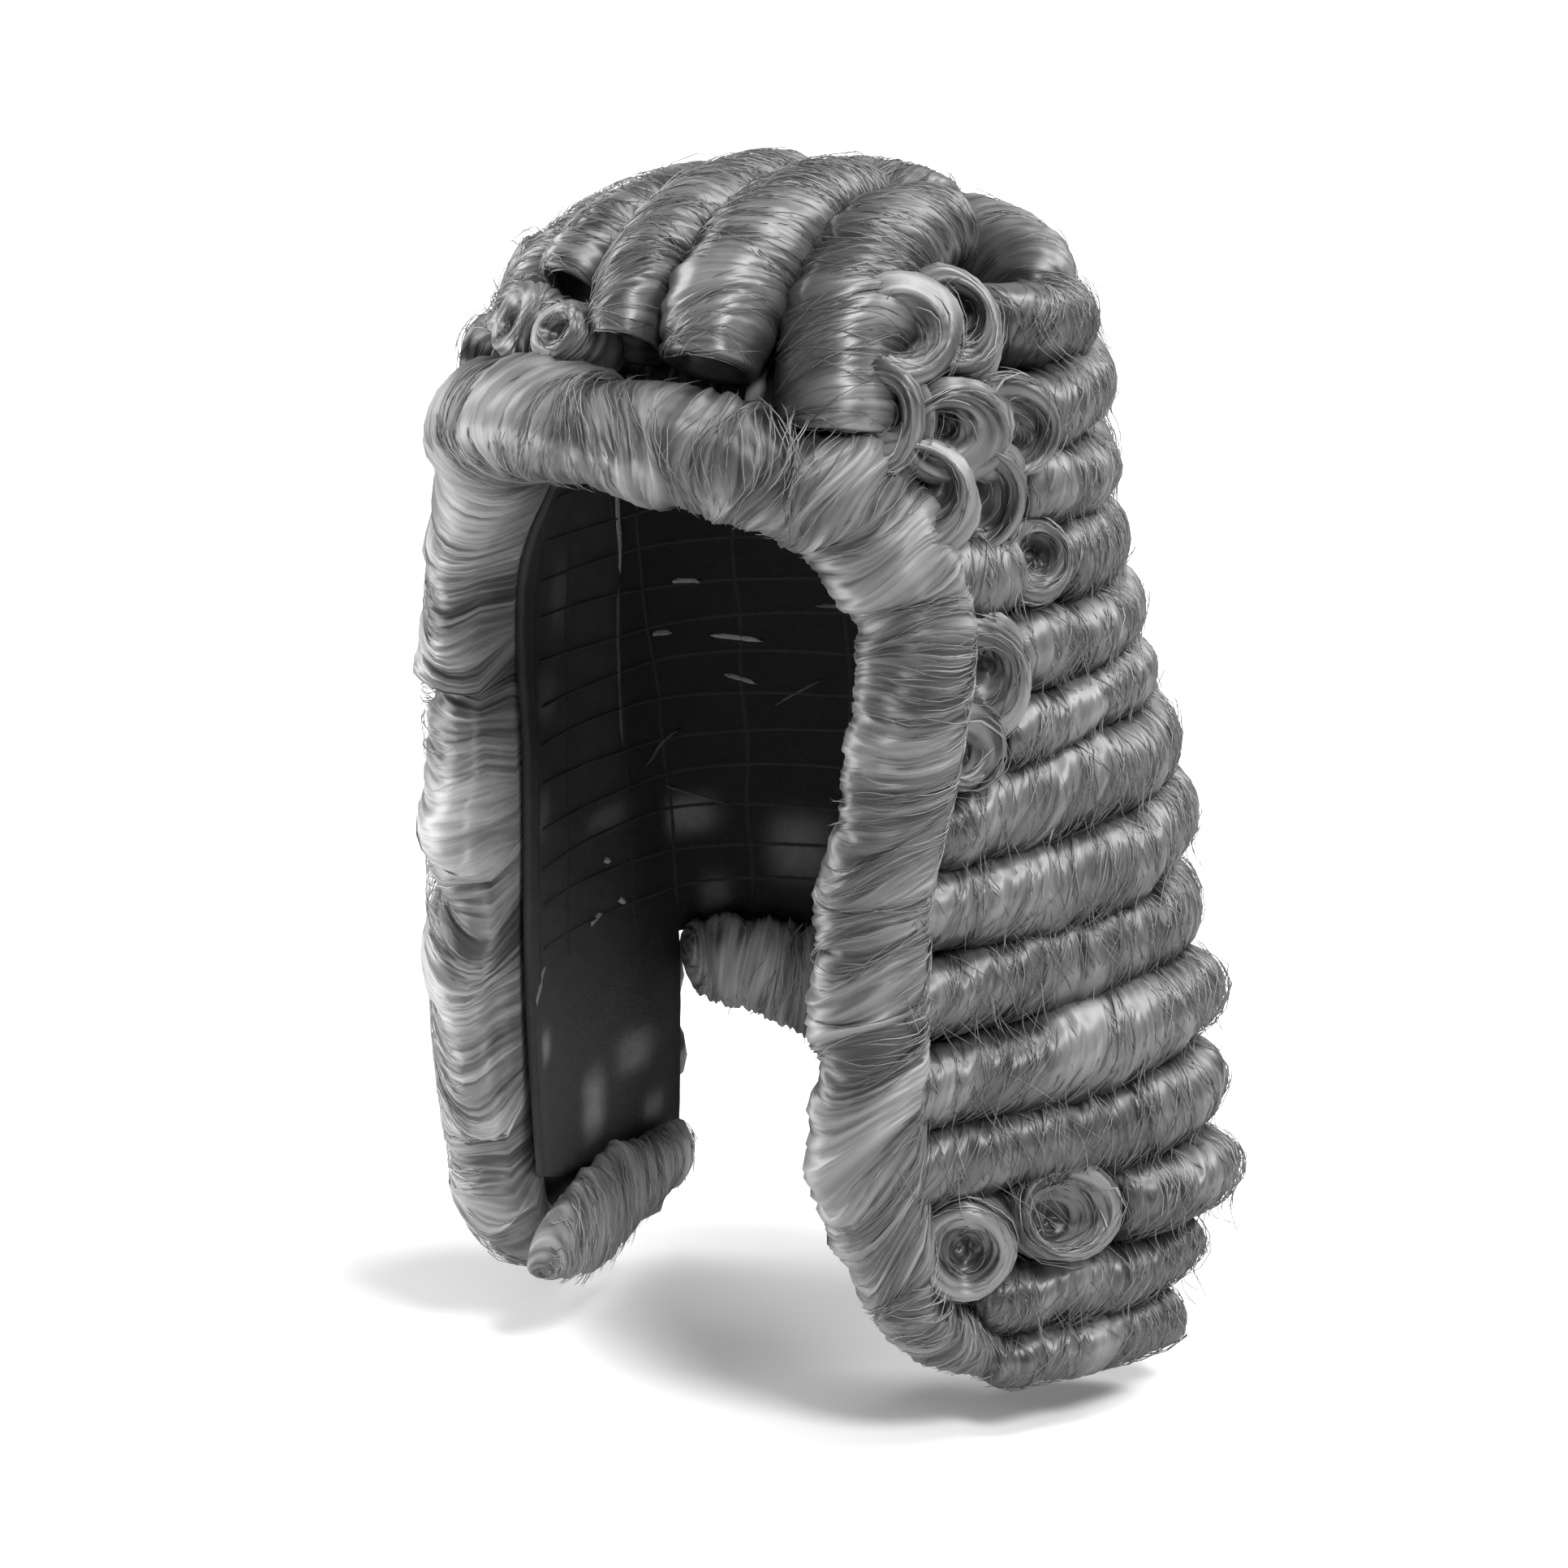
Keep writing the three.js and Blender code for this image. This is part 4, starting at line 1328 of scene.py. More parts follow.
@dataclass
class SideRows(HairAssembly):
    """The rows of curls on both sides of the head and on the lappets."""

    ring_style: StrandStyle = StrandStyle()
    stations: int = 24
    curl_space: float = -0.06
    fullness: float = 1.2
    # How the thickness of a row and its height wander along it.
    uneven: Ripple = Ripple(0.07, 8.0, 1.3)
    sway: Ripple = Ripple(1.8, 6.0, 1.0)
    # The size of a single roll at its front, and the share of its length that it grows over.
    front_size: float = 0.95
    front_reach: float = 0.3
    # How far the rows reach forward over the border, and the share of that for the lowest rows, with the
    # heights between which it changes. The front edge is ragged from row to row.
    forward: float = 0.27
    low_forward: float = 0.45
    low_heights: Pair = (-380.0, -345.0)
    ragged: float = 0.035
    ragged_pace: float = 2.3
    # Rings: where they start, their mean size and its spread, their ovalness, the share of their room, their
    # lean to the front, their tilt, how far their coils are drawn, half the stretch that their
    # direction is taken from, and their extra size above the height of the temple.
    ring_foot: float = -0.6
    ring_size: float = 1.176
    ring_spread: float = 0.224
    ring_oval: float = 0.1
    ring_room: float = 1.15
    ring_lean: float = 0.6
    ring_tilt: float = 0.35
    ring_draw: float = 0.5
    ring_step: float = 1e-4
    temple_rings: float = 1.22
    temple_z: float = -190.0
    rows: tuple[CurlRow, ...] = (
        CurlRow("side_row_1", -28.0, -6.0, 14.5, 22.0, 1.42, 2.37, "OOR"),
        CurlRow("side_row_2", -50.0, -5.0, 13.0, 20.0, 1.34, 2.37, "OOOR"),
        CurlRow("side_row_3", -78.0, -4.0, 13.5, 20.0, 1.41, 2.37, "OOR"),
        CurlRow("side_row_4", -109.0, -2.0, 14.5, 20.0, 1.42, 2.37, "ROR"),
        CurlRow("side_row_5", -140.0, -1.0, 14.0, 21.0, 1.42, 2.37, "ORR"),
        CurlRow("side_row_6", -167.0, 0.0, 12.0, 21.0, 1.38, 2.37, "ORR"),
        CurlRow("side_row_7", -197.0, 3.0, 16.0, 23.0, 1.34, 2.37, "R"),
        CurlRow("lappet_row_1", -231.0, 5.0, 16.0, 24.0, 1.31, 2.37, "R"),
        CurlRow("lappet_row_2", -265.0, 6.0, 16.0, 22.0, 1.31, 2.26, "R"),
        CurlRow("lappet_row_3", -299.0, 7.0, 16.5, 27.0, 1.31, 2.1, "R"),
        CurlRow("lappet_row_4", -333.0, 7.0, 16.5, 26.0, 1.32, 2.07, "R"),
        CurlRow("lappet_row_5", -366.0, 6.0, 15.5, 29.0, 1.36, 2.07, "OOR"),
        CurlRow("lappet_row_6", -395.0, 4.0, 13.0, 24.0, 1.45, 2.0, "R"),
        CurlRow("lappet_row_7", -422.0, 2.0, 12.5, 22.0, 1.50, 1.95, "R"),
    )

    def spine(self, row: CurlRow, side: Side, begin: float, finish: float) -> Spine:
        """A stretch of a row's middle line. The curls thicken from the front to the row's middle.

        Args:
            row: the row.
            side: the side of the head.
            begin: the turn where the stretch begins.
            finish: the turn where it ends.

        Returns:
            The spine.
        """
        turns = np.linspace(begin, finish, self.stations)
        share = (turns - row.begin) / (row.finish - row.begin)
        depth = between(HAIR_DEPTH, row.depth, np.clip(2.0 * share, 0.0, 1.0))
        half = self.fullness * row.half * (1.0 + self.uneven(turns, row.z))
        if len(row.curls) == 1:
            half = half * between(self.front_size, 1.0, shade_step(0.0, self.front_reach, share))
        z = row.z + row.rise * share + self.sway(turns, row.z)
        return self.row_spine(side.value * turns, z, half, depth)

    def ring(self, row: CurlRow, side: Side, begin: float, finish: float, rng: Rng) -> Roll:
        """A ring curl in the middle of a stretch of the row, a little tilted and uneven.

        Args:
            row: the row.
            side: the side of the head.
            begin: the turn where the stretch begins.
            finish: the turn where it ends.
            rng: the piece's random numbers.

        Returns:
            The ring.
        """
        stretch = self.spine(row, side, begin, finish)
        turn = 0.5 * (begin + finish)
        middle = self.spine(row, side, turn - self.ring_step, turn + self.ring_step)
        room = float(np.linalg.norm(stretch.centre[-1] - stretch.centre[0])) / 2.0
        depth = float(np.linalg.norm(middle.across[0]))
        out, up = unit(middle.across[0]), unit(middle.rise[0])
        forward = -side.value * np.cross(up, out)
        tilt, nod, size, oval, draw_along, draw_up, hollow = rng.uniform(-1.0, 1.0, 7)
        out = unit(out + (self.ring_lean + self.ring_tilt * tilt) * forward + self.ring_tilt * nod * up)
        up = unit(up - np.dot(up, out) * out)
        full = self.ring_size + self.ring_spread * size
        full = full * (self.temple_rings if row.z > self.temple_z else 1.0)
        wide = full * (1.0 + self.ring_oval * oval) * min(row.half, self.ring_room * room)
        tall = full * (1.0 - self.ring_oval * oval) * row.half
        spine = ring_spine(middle.centre[0], out, up, wide, tall, depth, self.ring_foot)
        drawn = (self.ring_draw * draw_along, self.ring_draw * draw_up)
        front = End.HOLLOW if hollow > 0.0 else End.DISHED
        return Roll(spine, End.FOOT, front, self.ring_style, rng, all_round=True, drawn=drawn)

    def curls(self, row: CurlRow, side: Side, style: StrandStyle, rng: Rng) -> Iterator[Roll]:
        """The curls of a row from front to back, each on its share of the row.

        Args:
            row: the row.
            side: the side of the head.
            style: how the hair lies.
            rng: the piece's random numbers.

        Yields:
            The rolls and rings.
        """
        kinds = [CURL_LETTERS[letter] for letter in row.curls]
        space = self.curl_space if len(kinds) > 1 else 0.0
        passed = np.cumsum([0.0, *(kind.value for kind in kinds)])
        high = float(shade_step(*self.low_heights, np.array(row.z)))
        first = row.begin - self.forward * between(self.low_forward, 1.0, high)
        first = first - self.ragged * high * math.sin(self.ragged_pace * row.z)
        length = (row.finish - first) / passed[-1]
        for kind, before, after in zip(kinds, passed, passed[1:]):
            begin, finish = first + length * (before + space), first + length * (after - space)
            if kind is Curl.RING:
                yield self.ring(row, side, begin, finish, rng)
            else:
                front = End.ROUND if len(kinds) == 1 else End.DISHED
                yield Roll(self.spine(row, side, begin, finish), front, End.HOLLOW, style, rng)

    def rolls(self) -> Iterator[Dressing]:
        """The rows of both sides."""
        for side in Side:
            for row in self.rows:
                node = f"{side.name.lower()}_{row.name}"
                lowest = row is self.rows[-1]
                style = replace(self.style, crossing=0.0) if lowest else self.style
                yield node, list(self.curls(row, side, style, seeded(node)))


@dataclass
class BackRows(HairAssembly):
    """The rows of rolls across the back, from the crown down to the nape."""

    stations: int = 40
    begin: float = 2.31
    fullness: float = 1.28
    # How the thickness of a row and its height wander along it.
    uneven: Ripple = Ripple(0.06, 7.0, 1.0)
    sway: Ripple = Ripple(2.0, 5.0, 1.7)
    # Height, half height and half thickness.
    rows: Table = (
        (-26.0, 14.0, 22.0), (-53.0, 14.5, 20.0), (-84.0, 15.0, 20.0), (-116.0, 15.5, 20.0),
        (-149.0, 15.5, 21.0), (-182.0, 16.0, 22.0), (-215.0, 16.0, 22.0), (-248.0, 16.0, 22.0),
        (-281.0, 15.5, 22.0),
    )

    def rolls(self) -> Iterator[Dressing]:
        """One roll for each row. Turns over 3 go on past the middle of the back."""
        turns = np.linspace(self.begin, 2.0 * BACK - self.begin, self.stations)
        for number, (z, half, depth) in enumerate(self.rows, start=1):
            thick = self.fullness * half * (1.0 + self.uneven(turns, z))
            spine = self.row_spine(turns, z + self.sway(turns, z), thick, depth)
            yield self.one_roll(f"back_row_{number}", spine)


@dataclass
class Hems(HairAssembly):
    """The soft rolls of hair ends under the cloth's lower edges, which show from inside."""

    depth: float = 8.0
    stations: int = 40
    left_begin: float = 0.5
    # Turn, height, half height and distance from the cloth of each hem's stations on the left side, from
    # front to back. A lappet's hem begins inside the border's foot.
    lappet: Table = (
        (1.00, -414.0, 4.0, 4.0), (1.09, -407.0, 13.0, -1.0), (1.20, -405.0, 18.0, -6.5),
        (1.42, -406.0, 19.0, -7.5), (1.68, -400.0, 15.0, -7.5), (1.93, -396.0, 12.0, -7.5),
    )
    nape: Table = (
        (1.96, -308.0, 12.0, -7.5), (2.15, -316.0, 18.0, -7.5), (2.40, -319.0, 19.0, -7.5),
        (2.65, -325.0, 23.0, -7.5), (3.0, -323.0, 22.0, -7.5),
    )

    def hem(self, node: str, table: Array, begin: float = 0.0) -> Dressing:
        """A flat roll through a table's stations, from a share of its length on."""
        turn, z, half, offset = smooth_line(table, np.linspace(begin, 1.0, self.stations)).T
        return self.one_roll(node, self.row_spine(turn, z, half, self.depth, offset))

    def rolls(self) -> Iterator[Dressing]:
        """The hem of the nape, with its mirror image, and one for each lappet."""
        nape, lappet = np.array(self.nape), np.array(self.lappet)
        yield self.hem("nape_hem", mirrored(nape, nape * (-1, 1, 1, 1) + (2.0 * BACK, 0, 0, 0)))
        yield self.hem("left_lappet_hem", lappet, self.left_begin)
        yield self.hem("right_lappet_hem", lappet * (-1, 1, 1, 1))


@dataclass
class Foundation:
    """The black cloth cap with its two lappets, open at the face and below the nape."""

    head: HeadForm
    cloth: bpy.types.Material
    ground: bpy.types.Material
    # Steps of the grid over each unit of turn from the forehead to the back, and down the dome, the wall and
    # the lappets, with the dome's first ring in degrees.
    turn_steps: tuple[int, int, int] = (34, 40, 40)
    height_steps: tuple[int, int, int] = (26, 64, 25)
    first_ring: float = 5.0
    # Depth of the lining's puckers, the shares of it that all of them and that the pleats have, the pleats'
    # pace in radians a turn, the bend and pace of their lines, and a slow swell.
    pucker: float = 0.5
    pucker_mean: float = 0.6
    pleat_share: float = 0.4
    pleat_pace: float = 19.0
    pleat_bend: Pair = (1.7, 0.05)
    swell: Ripple = Ripple(0.4, 7.0, 0.031)
    # Height of the binding at the opening, its width and the width of its edge in turns.
    binding: float = 0.6
    binding_width: float = 0.10
    binding_edge: float = 0.02
    # The tone of the outside, painted near black as shade between the rolls, and how dusty the lappets are,
    # with the turns between which that fades out.
    ground_shade_tone: float = 0.02
    dust: float = 0.05
    dust_fade: Pair = (1.6, 1.8)
    # Wefts: the way from one to the next, the turn and heights between which they run, and how they wander.
    weft_step: float = 17.0
    weft_begin: float = 1.14
    weft_heights: Pair = (BROW_Z - 4.0, NAPE_Z + 6.0)
    weft_sway: Ripple = Ripple(1.2, 3.0, 1.0)
    # Half width, height and tone of a weft's thread and of a seam's, and the height of a loose thread.
    weft_thread: Triple = (0.8, 0.7, 0.05)
    seam_thread: Triple = (0.9, 0.5, 0.03)
    stitch_height: float = 0.9
    seams: tuple[float, ...] = (1.1, 1.36, 1.72, 2.0, 2.35, 2.7)
    seam_heights: Pair = (BROW_Z - 8.0, NAPE_Z + 8.0)
    seam_sway: Ripple = Ripple(0.006, 9.0, 0.11)
    # Points along a weft, a seam, a loose thread and a laid strand.
    weft_steps: int = 60
    seam_steps: int = 40
    stitch_steps: int = 9
    laid_steps: int = 6
    # Laid hair: how many strands on the wall and on the dome, their lengths in mm and as a share of the dome,
    # their half width, ridge, drift and tones. On the wall they start between two heights, and in front of
    # a turn only above the face.
    laid_count: int = 450
    dome_count: int = 260
    laid_length: float = 26.0
    dome_reach: float = 0.28
    laid_half: float = 1.2
    laid_ridge: float = 0.6
    laid_drift: float = 0.05
    laid_tones: Pair = (0.04, 0.22)
    laid_heights: Pair = (NAPE_Z + 34.0, -8.0)
    face_turn: float = 1.05
    face_z: float = -45.0
    # Shares of the way out where the dome's strands start, and a power that crowds them outwards.
    dome_starts: Pair = (0.06, 0.6)
    dome_crowding: float = 0.7
    # Turn, height, half width as a turn, half height and paleness of each rubbed patch.
    patches: Table = (
        (-2.085, -252.0, 0.13, 8.0, 0.42), (-2.525, -268.0, 0.10, 14.0, 0.36),
        (-1.14, -324.0, 0.05, 6.0, 0.45), (-1.50, -364.0, 0.06, 13.0, 0.50),
        (-1.71, -350.0, 0.08, 8.0, 0.36), (-1.80, -378.0, 0.04, 6.0, 0.35),
        (-1.60, -243.0, 0.10, 5.0, 0.22), (-2.20, -290.0, 0.07, 9.0, 0.22),
        (-1.20, -180.0, 0.08, 9.0, 0.14), (-1.16, -226.0, 0.06, 10.0, 0.16),
        (-1.30, -140.0, 0.06, 14.0, 0.12),
    )
    # Turns and heights of both ends, half width and paleness of each thread left in the lining.
    stitches: Table = (
        (-1.800, -92.0, -1.715, -138.0, 1.5, 0.55), (-1.715, -138.0, -1.700, -215.0, 0.8, 0.14),
        (-2.12, -146.0, -2.23, -148.0, 1.2, 0.75), (-2.01, -168.0, -2.10, -169.0, 1.2, 0.6),
        (-2.24, -172.0, -2.43, -176.0, 1.1, 0.75), (-2.28, -190.0, -2.40, -195.0, 1.0, 0.6),
        (-2.60, -160.0, -2.72, -160.0, 0.9, 0.3), (-2.45, -205.0, -2.62, -192.0, 0.6, 0.22),
        (-1.80, -226.0, -2.10, -212.0, 0.6, 0.22), (-1.95, -236.0, -2.30, -250.0, 0.6, 0.22),
        (-1.58, -260.0, -1.61, -262.0, 1.3, 0.9), (-1.65, -280.0, -1.68, -283.0, 1.3, 0.9),
        (-1.49, -286.0, -1.56, -283.0, 1.3, 0.9), (-1.02, -302.0, -1.17, -290.0, 0.8, 0.5),
    )

    def lines(self) -> tuple[Array, Array]:
        """The turns and heights of the grid, with every edge of the cloth on a grid line."""
        quarter = np.concatenate([
            np.linspace(edge, edge + 1.0, steps, endpoint=False) for edge, steps in enumerate(self.turn_steps)
        ])
        dome, wall, tails = self.height_steps
        angles = np.radians(np.linspace(self.first_ring, 90.0, dome, endpoint=False))
        heights = np.concatenate([
            BROW_Z * (1.0 - np.cos(angles)),
            np.linspace(BROW_Z, NAPE_Z, wall, endpoint=False),
            np.linspace(NAPE_Z, LAPPET_Z, tails),
        ])
        return np.concatenate([[-BACK], -quarter[:0:-1], quarter]), heights

    def relief(self, turn: Array, z: Array) -> Array:
        """How far the lining stands in: puckers between the wefts, and a bound edge at the opening."""
        bend, pace = self.pleat_bend
        pleats = np.sin(self.pleat_pace * turn + bend * np.sin(pace * z))
        pleats = pleats * np.sin(CIRCLE * z / self.weft_step)
        folds = self.pucker * (self.pucker_mean + self.pleat_share * pleats + self.swell(turn, z))
        bound = 1.0 + self.binding_width
        edge = self.binding * (1.0 - shade_step(bound, bound + self.binding_edge, np.abs(turn)))
        return folds + edge * (z < BROW_Z)

    def shell(self) -> Patch:
        """The wall of cloth over a grid of turns by heights, with cells left out at the face and the neck.

        Returns:
            A closed wall, with the lining as its first finish and the hair ground as its second.
        """
        turns, heights = self.lines()
        columns, rows = len(turns), len(heights)
        turn, height = np.meshgrid(turns, heights)
        z = self.head.rounded_off(turn, height)
        base = self.head.cap(turn, z)
        normal = self.head.cap_normal(turn, z)
        inner = base - self.relief(turn, z)[..., None] * normal
        outer = base + CLOTH * normal
        points = np.concatenate([inner.reshape(-1, 3), outer.reshape(-1, 3), [[0, 0, 0], [0, 0, CLOTH]]])

        step = np.append(turns, BACK)
        middle_turn = np.abs(0.5 * (step[1:] + step[:-1]))[None, :]
        middle_z = (0.5 * (heights[1:] + heights[:-1]))[:, None]
        lappet = (middle_turn > 1.0) & (middle_turn < 2.0)
        there = (middle_z > BROW_Z) | ((middle_z > NAPE_Z) & (middle_turn > 1.0)) | lappet
        row, column = np.indices(there.shape)
        beside = (column + 1) % columns

        def corner(low: int, right: int, layer: int) -> Array:
            """The point numbers of one corner of every cell, on the inner or outer layer."""
            return layer * rows * columns + (row + low) * columns + (beside if right else column)

        below = np.vstack([there[1:], np.zeros((1, columns), bool)])
        walls = (
            (there, (0, 0, 0), (0, 1, 0), (1, 1, 0), (1, 0, 0)),
            (there & ~np.roll(there, 1, 1), (0, 0, 0), (1, 0, 0), (1, 0, 1), (0, 0, 1)),
            (there & ~np.roll(there, -1, 1), (0, 1, 1), (1, 1, 1), (1, 1, 0), (0, 1, 0)),
            (there & ~below, (1, 0, 1), (1, 0, 0), (1, 1, 0), (1, 1, 1)),
            (there, (0, 0, 1), (1, 0, 1), (1, 1, 1), (0, 1, 1)),
        )
        *lining, outside = (
            np.stack([corner(*place)[mask] for place in places], axis=-1) for mask, *places in walls
        )
        quads = np.concatenate([*lining, outside])
        finish = np.repeat([0, 1], [len(quads) - len(outside), len(outside)])
        first = np.arange(columns)
        ahead = (first + 1) % columns
        pole = np.full(columns, 2 * rows * columns)
        tops = np.concatenate([
            np.stack([pole, ahead, first], axis=-1),
            np.stack([pole + 1, rows * columns + first, rows * columns + ahead], axis=-1),
        ])
        uv = np.stack([TURN_UV * turn, z / UV_UNIT], axis=-1).reshape(-1, 2)
        # The outside's tone is painted shade between the rolls.
        ground = self.ground_shade_tone
        tone = np.concatenate([self.wear(turn, z).ravel(), np.full(turn.size, ground), [0.0, ground]])
        return Patch(points, quads, tops, np.vstack([uv, uv, uv[:2]]), tone, finish).trimmed()

    def wear(self, turn: Array, z: Array) -> Array:
        """How pale the lining is: rubbed patches as soft spots, and the lappets dustier than the back."""
        pale = self.dust * (1.0 - shade_step(*self.dust_fade, np.abs(turn))) + 0.0 * z
        for middle, height, wide, tall, much in self.patches:
            spot = np.abs((turn - middle) / wide) ** 3 + np.abs((z - height) / tall) ** 3
            pale = pale + much * np.exp(-spot)
        return pale

    def laid_hair(self) -> Patch:
        """Short hair laid down over the outside of the cloth, which shows where the rolls leave a gap."""
        rng = seeded("foundation")
        turn = rng.uniform(-BACK, BACK, self.laid_count)
        top = rng.uniform(*self.laid_heights, self.laid_count)
        there = (np.abs(turn) > self.face_turn) | (top > self.face_z)
        turn, top = turn[there, None], top[there, None]
        t = np.linspace(0.0, 1.0, self.laid_steps)[None, :]
        start = rng.uniform(*self.dome_starts, (self.dome_count, 1)) ** self.dome_crowding
        z = np.vstack([top - self.laid_length * t, self.head.dome_height(start + self.dome_reach * t)])
        turn = np.vstack([turn, rng.uniform(-BACK, BACK, (self.dome_count, 1))])
        turn = turn + rng.normal(0.0, self.laid_drift, turn.shape) * t
        tone = rng.uniform(*self.laid_tones, (len(z), 1))
        hair = self.threads(turn, z, self.laid_half, self.laid_ridge, tone, outside=True)
        hair.quad_finish = np.ones(len(hair.quads), int)
        return hair

    def threads(
        self, turn: Array, z: Array, half_width: float, height: float, tone: Array, outside: bool = False
    ) -> Patch:
        """Raised threads on the lining, or hair on the outside: three-sided strands along rows of places.

        Args:
            turn: turns of the threads' points, threads by steps.
            z: their heights, in the same form.
            half_width: half the threads' width.
            height: how far they stand off the cloth.
            tone: their lightness.
            outside: whether they lie on the outside of the cloth.

        Returns:
            The threads as one patch.
        """
        normal = self.head.cap_normal(turn, z)
        lift, ridge = (CLOTH, height) if outside else (-self.relief(turn, z)[..., None], -height)
        foot = self.head.cap(turn, z) + lift * normal
        side = half_width * np.cross(normal, unit(np.gradient(foot, axis=1)))
        uv = np.stack([(LAID_UV if outside else TURN_UV) * turn, z / UV_UNIT], axis=-1)
        sides = (foot - side, foot + ridge * normal, foot + side)
        return strand_patch(sides, (uv, uv, uv), np.broadcast_to(tone, turn.shape), outside)

    def wefts(self) -> Patch:
        """The sewn wefts that run round the lining, one above another."""
        heights = np.arange(*self.weft_heights, -self.weft_step)[:, None]
        turn = np.linspace(self.weft_begin, BACK, self.weft_steps)[None, :] + 0.0 * heights
        z = heights + self.weft_sway(turn, heights)
        return Patch.joined([self.threads(side.value * turn, z, *self.weft_thread) for side in Side])

    def seam_lines(self) -> Patch:
        """The seams that run down the lining on both sides."""
        places = np.array([[side.value * seam] for side in Side for seam in self.seams])
        z = np.linspace(*self.seam_heights, self.seam_steps)[None, :] + 0.0 * places
        return self.threads(places + self.seam_sway(places, z), z, *self.seam_thread)

    def loose_threads(self) -> Patch:
        """The pale tape and the threads left in the lining, straight between their ends."""
        t = np.linspace(0.0, 1.0, self.stitch_steps)[None, :]
        return Patch.joined([
            self.threads(between(begin, finish, t), between(top, low, t), half, self.stitch_height, tone)
            for begin, top, finish, low, half, tone in self.stitches
        ])

    def dress(self) -> int:
        """Builds the cap and counts its triangles."""
        layers = (self.shell, self.wefts, self.seam_lines, self.loose_threads, self.laid_hair)
        patch = Patch.joined([layer() for layer in layers])
        return add_piece("foundation", patch, [self.cloth, self.ground])


@dataclass
class Studio:
    """The pale floor, the soft light and the camera."""

    azimuth: float = 38.0
    elevation: float = 13.0
    distance: float = 2.7
    focal_pixels: float = 8370.0
    image_pixels: float = 1932.0
    # The point that the view was measured about, and where it lies from the image's middle, in pixels.
    sight: Triple = (0.0, 0.0, -0.124)
    sight_right: float = -4.0
    sight_up: float = 257.0
    floor_size: float = 12.0
    floor_z: float = -0.452
    floor_greys: Pair = (0.86, 0.90)
    # The room's light on the wig. The camera sees it at full strength.
    room_light: float = 0.23
    # Each far lamp's name, its direction round the wig and its height over the horizon in degrees, the angle
    # that it fills in the sky in degrees, and its light in watts per square metre.
    far_lamps: tuple[tuple[str, float, float, float, float], ...] = (
        ("left", -78.0, 28.0, 30.0, 2.4),
        ("top", 100.0, 72.0, 20.0, 1.5),
        ("front", 66.0, 47.0, 16.0, 2.3),
        ("right", 146.0, 44.0, 24.0, 1.9),
    )
    lamp_distance: float = 2.0
    # The small lamp close to the wig: its place, what it faces, its width and its watts.
    side_place: Triple = (-0.42, -0.50, -0.30)
    side_aim: Triple = (-0.08, -0.08, -0.22)
    side_size: float = 0.4
    side_watts: float = 4.5

    def direction(self, azimuth: float, elevation: float) -> Vector:
        """The direction towards a place round the object, by its angles in degrees."""
        a, e = math.radians(azimuth), math.radians(elevation)
        return Vector((math.sin(a) * math.cos(e), -math.cos(a) * math.cos(e), math.sin(e)))

    def stand(self, data: bpy.types.ID, place: Vector, look: Vector) -> bpy.types.Object:
        """Puts a camera or a lamp at a place and turns it along its look."""
        thing = bpy.data.objects.new(data.name, data)
        thing.location = place
        thing.rotation_euler = look.to_track_quat("-Z", "Y").to_euler()
        bpy.context.scene.collection.objects.link(thing)
        return thing

    def camera(self) -> None:
        """Sets the camera at the photograph's viewing angle."""
        data = bpy.data.cameras.new("camera")
        data.sensor_width = 36.0
        data.lens = data.sensor_width * self.focal_pixels / self.image_pixels
        towards = self.direction(self.azimuth, self.elevation)
        right = self.direction(self.azimuth + 90.0, 0.0)
        above = towards.cross(right)
        look = -self.focal_pixels * towards - self.sight_right * right - self.sight_up * above
        place = Vector(self.sight) + self.distance * towards
        bpy.context.scene.camera = self.stand(data, place, look)

    def lamps(self) -> None:
        """Hangs far soft lamps, which light the floor evenly, and a near one, which lights its side."""
        for name, azimuth, elevation, softness, strength in self.far_lamps:
            far = bpy.data.lights.new(name, "SUN")
            far.angle = math.radians(softness)
            far.energy = strength
            towards = self.direction(azimuth, elevation)
            self.stand(far, self.lamp_distance * towards, -towards)
        near = bpy.data.lights.new("side", "AREA")
        near.size = self.side_size
        near.energy = self.side_watts
        place = Vector(self.side_place)
        self.stand(near, place, Vector(self.side_aim) - place).visible_camera = False

    def floor(self) -> None:
        """Lays the plain pale floor under the wig."""
        half = self.floor_size / 2.0
        mesh = bpy.data.meshes.new("floor")
        corners = [(-half, -half), (half, -half), (half, half), (-half, half)]
        mesh.from_pydata([(x, y, self.floor_z) for x, y in corners], [], [(0, 1, 2, 3)])
        floor = bpy.data.objects.new("floor", mesh)
        bpy.context.scene.collection.objects.link(floor)
        material = bpy.data.materials.new("pale_floor")
        material.use_nodes = True
        tree = material.node_tree
        bench = NodeBench(tree)
        place = tree.nodes.new("ShaderNodeTexCoord")
        cloud = bench.add("ShaderNodeTexNoise", Vector=place.outputs["Object"], Scale=3.0, Detail=2.0)
        colour = bench.blend(cloud.outputs[0], *(grey(level) for level in self.floor_greys))
        bench.fill(tree.nodes["Principled BSDF"], Base_Color=colour, Roughness=0.9)
        mesh.materials.append(material)
        floor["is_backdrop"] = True

    def sky(self) -> None:
        """Fills the room with even white light."""
        world = bpy.data.worlds.new("room")
        world.use_nodes = True
        tree = world.node_tree
        bench = NodeBench(tree)
        seen = tree.nodes.new("ShaderNodeLightPath").outputs["Is Camera Ray"]
        strength = bench.math("MULTIPLY_ADD", seen, 1.0 - self.room_light, self.room_light)
        bench.fill(tree.nodes["Background"], Strength=strength, Color=grey(1.0))
        bpy.context.scene.world = world

    def build(self) -> None:
        """Sets up the floor, the light and the camera."""
        for step in (self.floor, self.sky, self.lamps, self.camera):
            step()
        bpy.context.scene.view_settings.view_transform = "Standard"


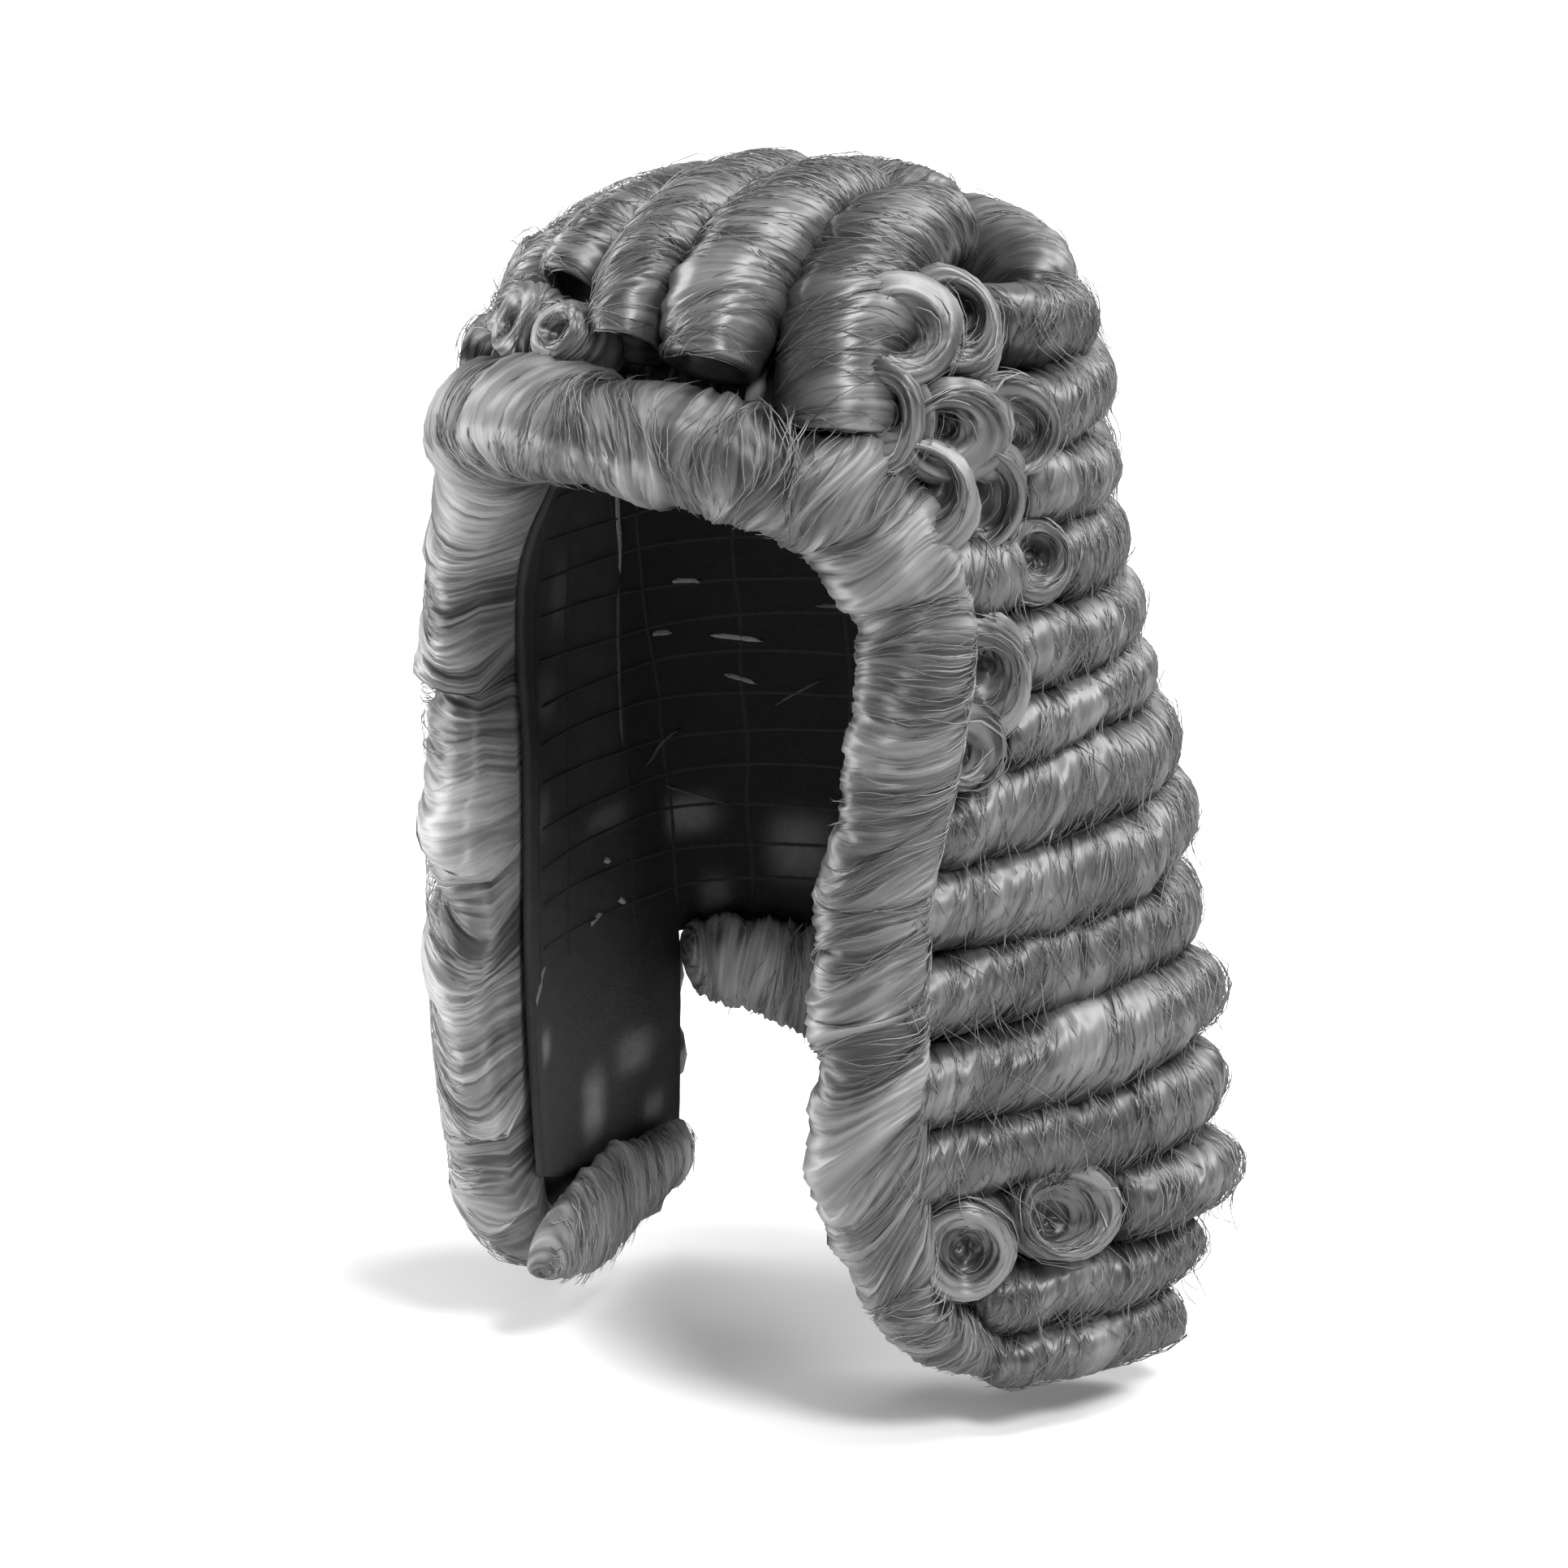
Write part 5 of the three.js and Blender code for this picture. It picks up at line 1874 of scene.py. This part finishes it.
def main() -> None:
    """Builds the studio and every piece, then measures the size of the whole."""
    logging.basicConfig(level=logging.INFO, format="%(name)s %(message)s")
    Studio().build()
    head = HeadForm()
    curled = HairFinish("curled_hair").material()
    brushed = HairFinish("brushed_hair", roughness=0.46, gloss=0.7).material()
    soft = HairFinish("soft_hair_ends", contrast=0.8, roughness=0.7, gloss=0.2, grain=0.0).material()
    cloth = ClothFinish("black_cloth").material()

    brushed_back = ((0.0, 1.0), (0.2, 0.8), (0.33, 0.2), (0.5, 0.0), (0.67, -0.2), (0.8, -0.8), (1.0, -1.0))
    border_style = StrandStyle(
        facing=-0.1, slants=brushed_back, wave=3.2, wave_count=2.5, fine=0.4, lock=0.8, lump=2.4,
        lump_width=17, stray=0.9, strands=2.0, tangle=0.2, strand_reach=1.5, strand_steps=7, strand_half=0.16,
        crimp=0.5, loose=0.02, loose_lift=1.5, crease=0.5, bright=0.5, spread=0.42, mottle=0.45, spiral=0.0,
    )
    crown_style = StrandStyle(
        slants=((0.0, 0.45), (1.0, 0.35)), stray=0.2, crossing=0.02, crossing_reach=1.5, light=0.17,
        mottle=0.25, strands=1.6, tangle=0.3,
    )
    row_style = StrandStyle(
        slants=((0.0, 0.4), (0.4, 0.25), (1.0, 0.15)), stray=0.22, crossing=0.2, spiral=0.45, spiral_step=5.5,
        strands=1.3, tangle=0.42, light=0.15, mottle=0.35, crease=0.9, bright=0.38, comb=1.1,
    )
    ring_style = replace(
        row_style, fine=0.55, lock=1.1, lump=1.6, lump_width=7, spread=0.6, mottle=0.5, wave=2.4, strands=1.6,
        strand_half=0.24, tangle=0.14, crimp=0.5, crimp_count=4.0, loose=0.25, loose_lift=5.0,
    )
    back_style = StrandStyle(comb=1.2, stray=0.2, crossing=0.16, light=0.22)
    hem_style = StrandStyle(
        facing=math.pi, slants=((0.0, 0.0), (1.0, 0.0)), spiral=0.0, fine=0.5, lock=0.6, lump=1.1,
        lump_width=9, wave=1.6, stray=0.3, crease=0.35, light=0.5, spread=0.24, strands=1.6,
        strand_reach=1.2, tangle=0.4, crimp=0.8, loose=0.6, loose_lift=3.5,
    )
    families = (
        Foundation(head, cloth, curled),
        FrontBorder(head, brushed, border_style),
        CrownCurls(head, curled, crown_style),
        SideRows(head, curled, row_style, ring_style),
        BackRows(head, curled, back_style),
        Hems(head, soft, hem_style),
    )
    triangles = sum(family.dress() for family in families)
    LOG.info("%d triangles for %d nodes", triangles, len(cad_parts))
    boxes = {"cad": CAD_BOX, "visual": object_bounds()}
    json.dumps({name: [list(c) for c in box] for name, box in boxes.items()})


if __name__ == "__main__":
    main()
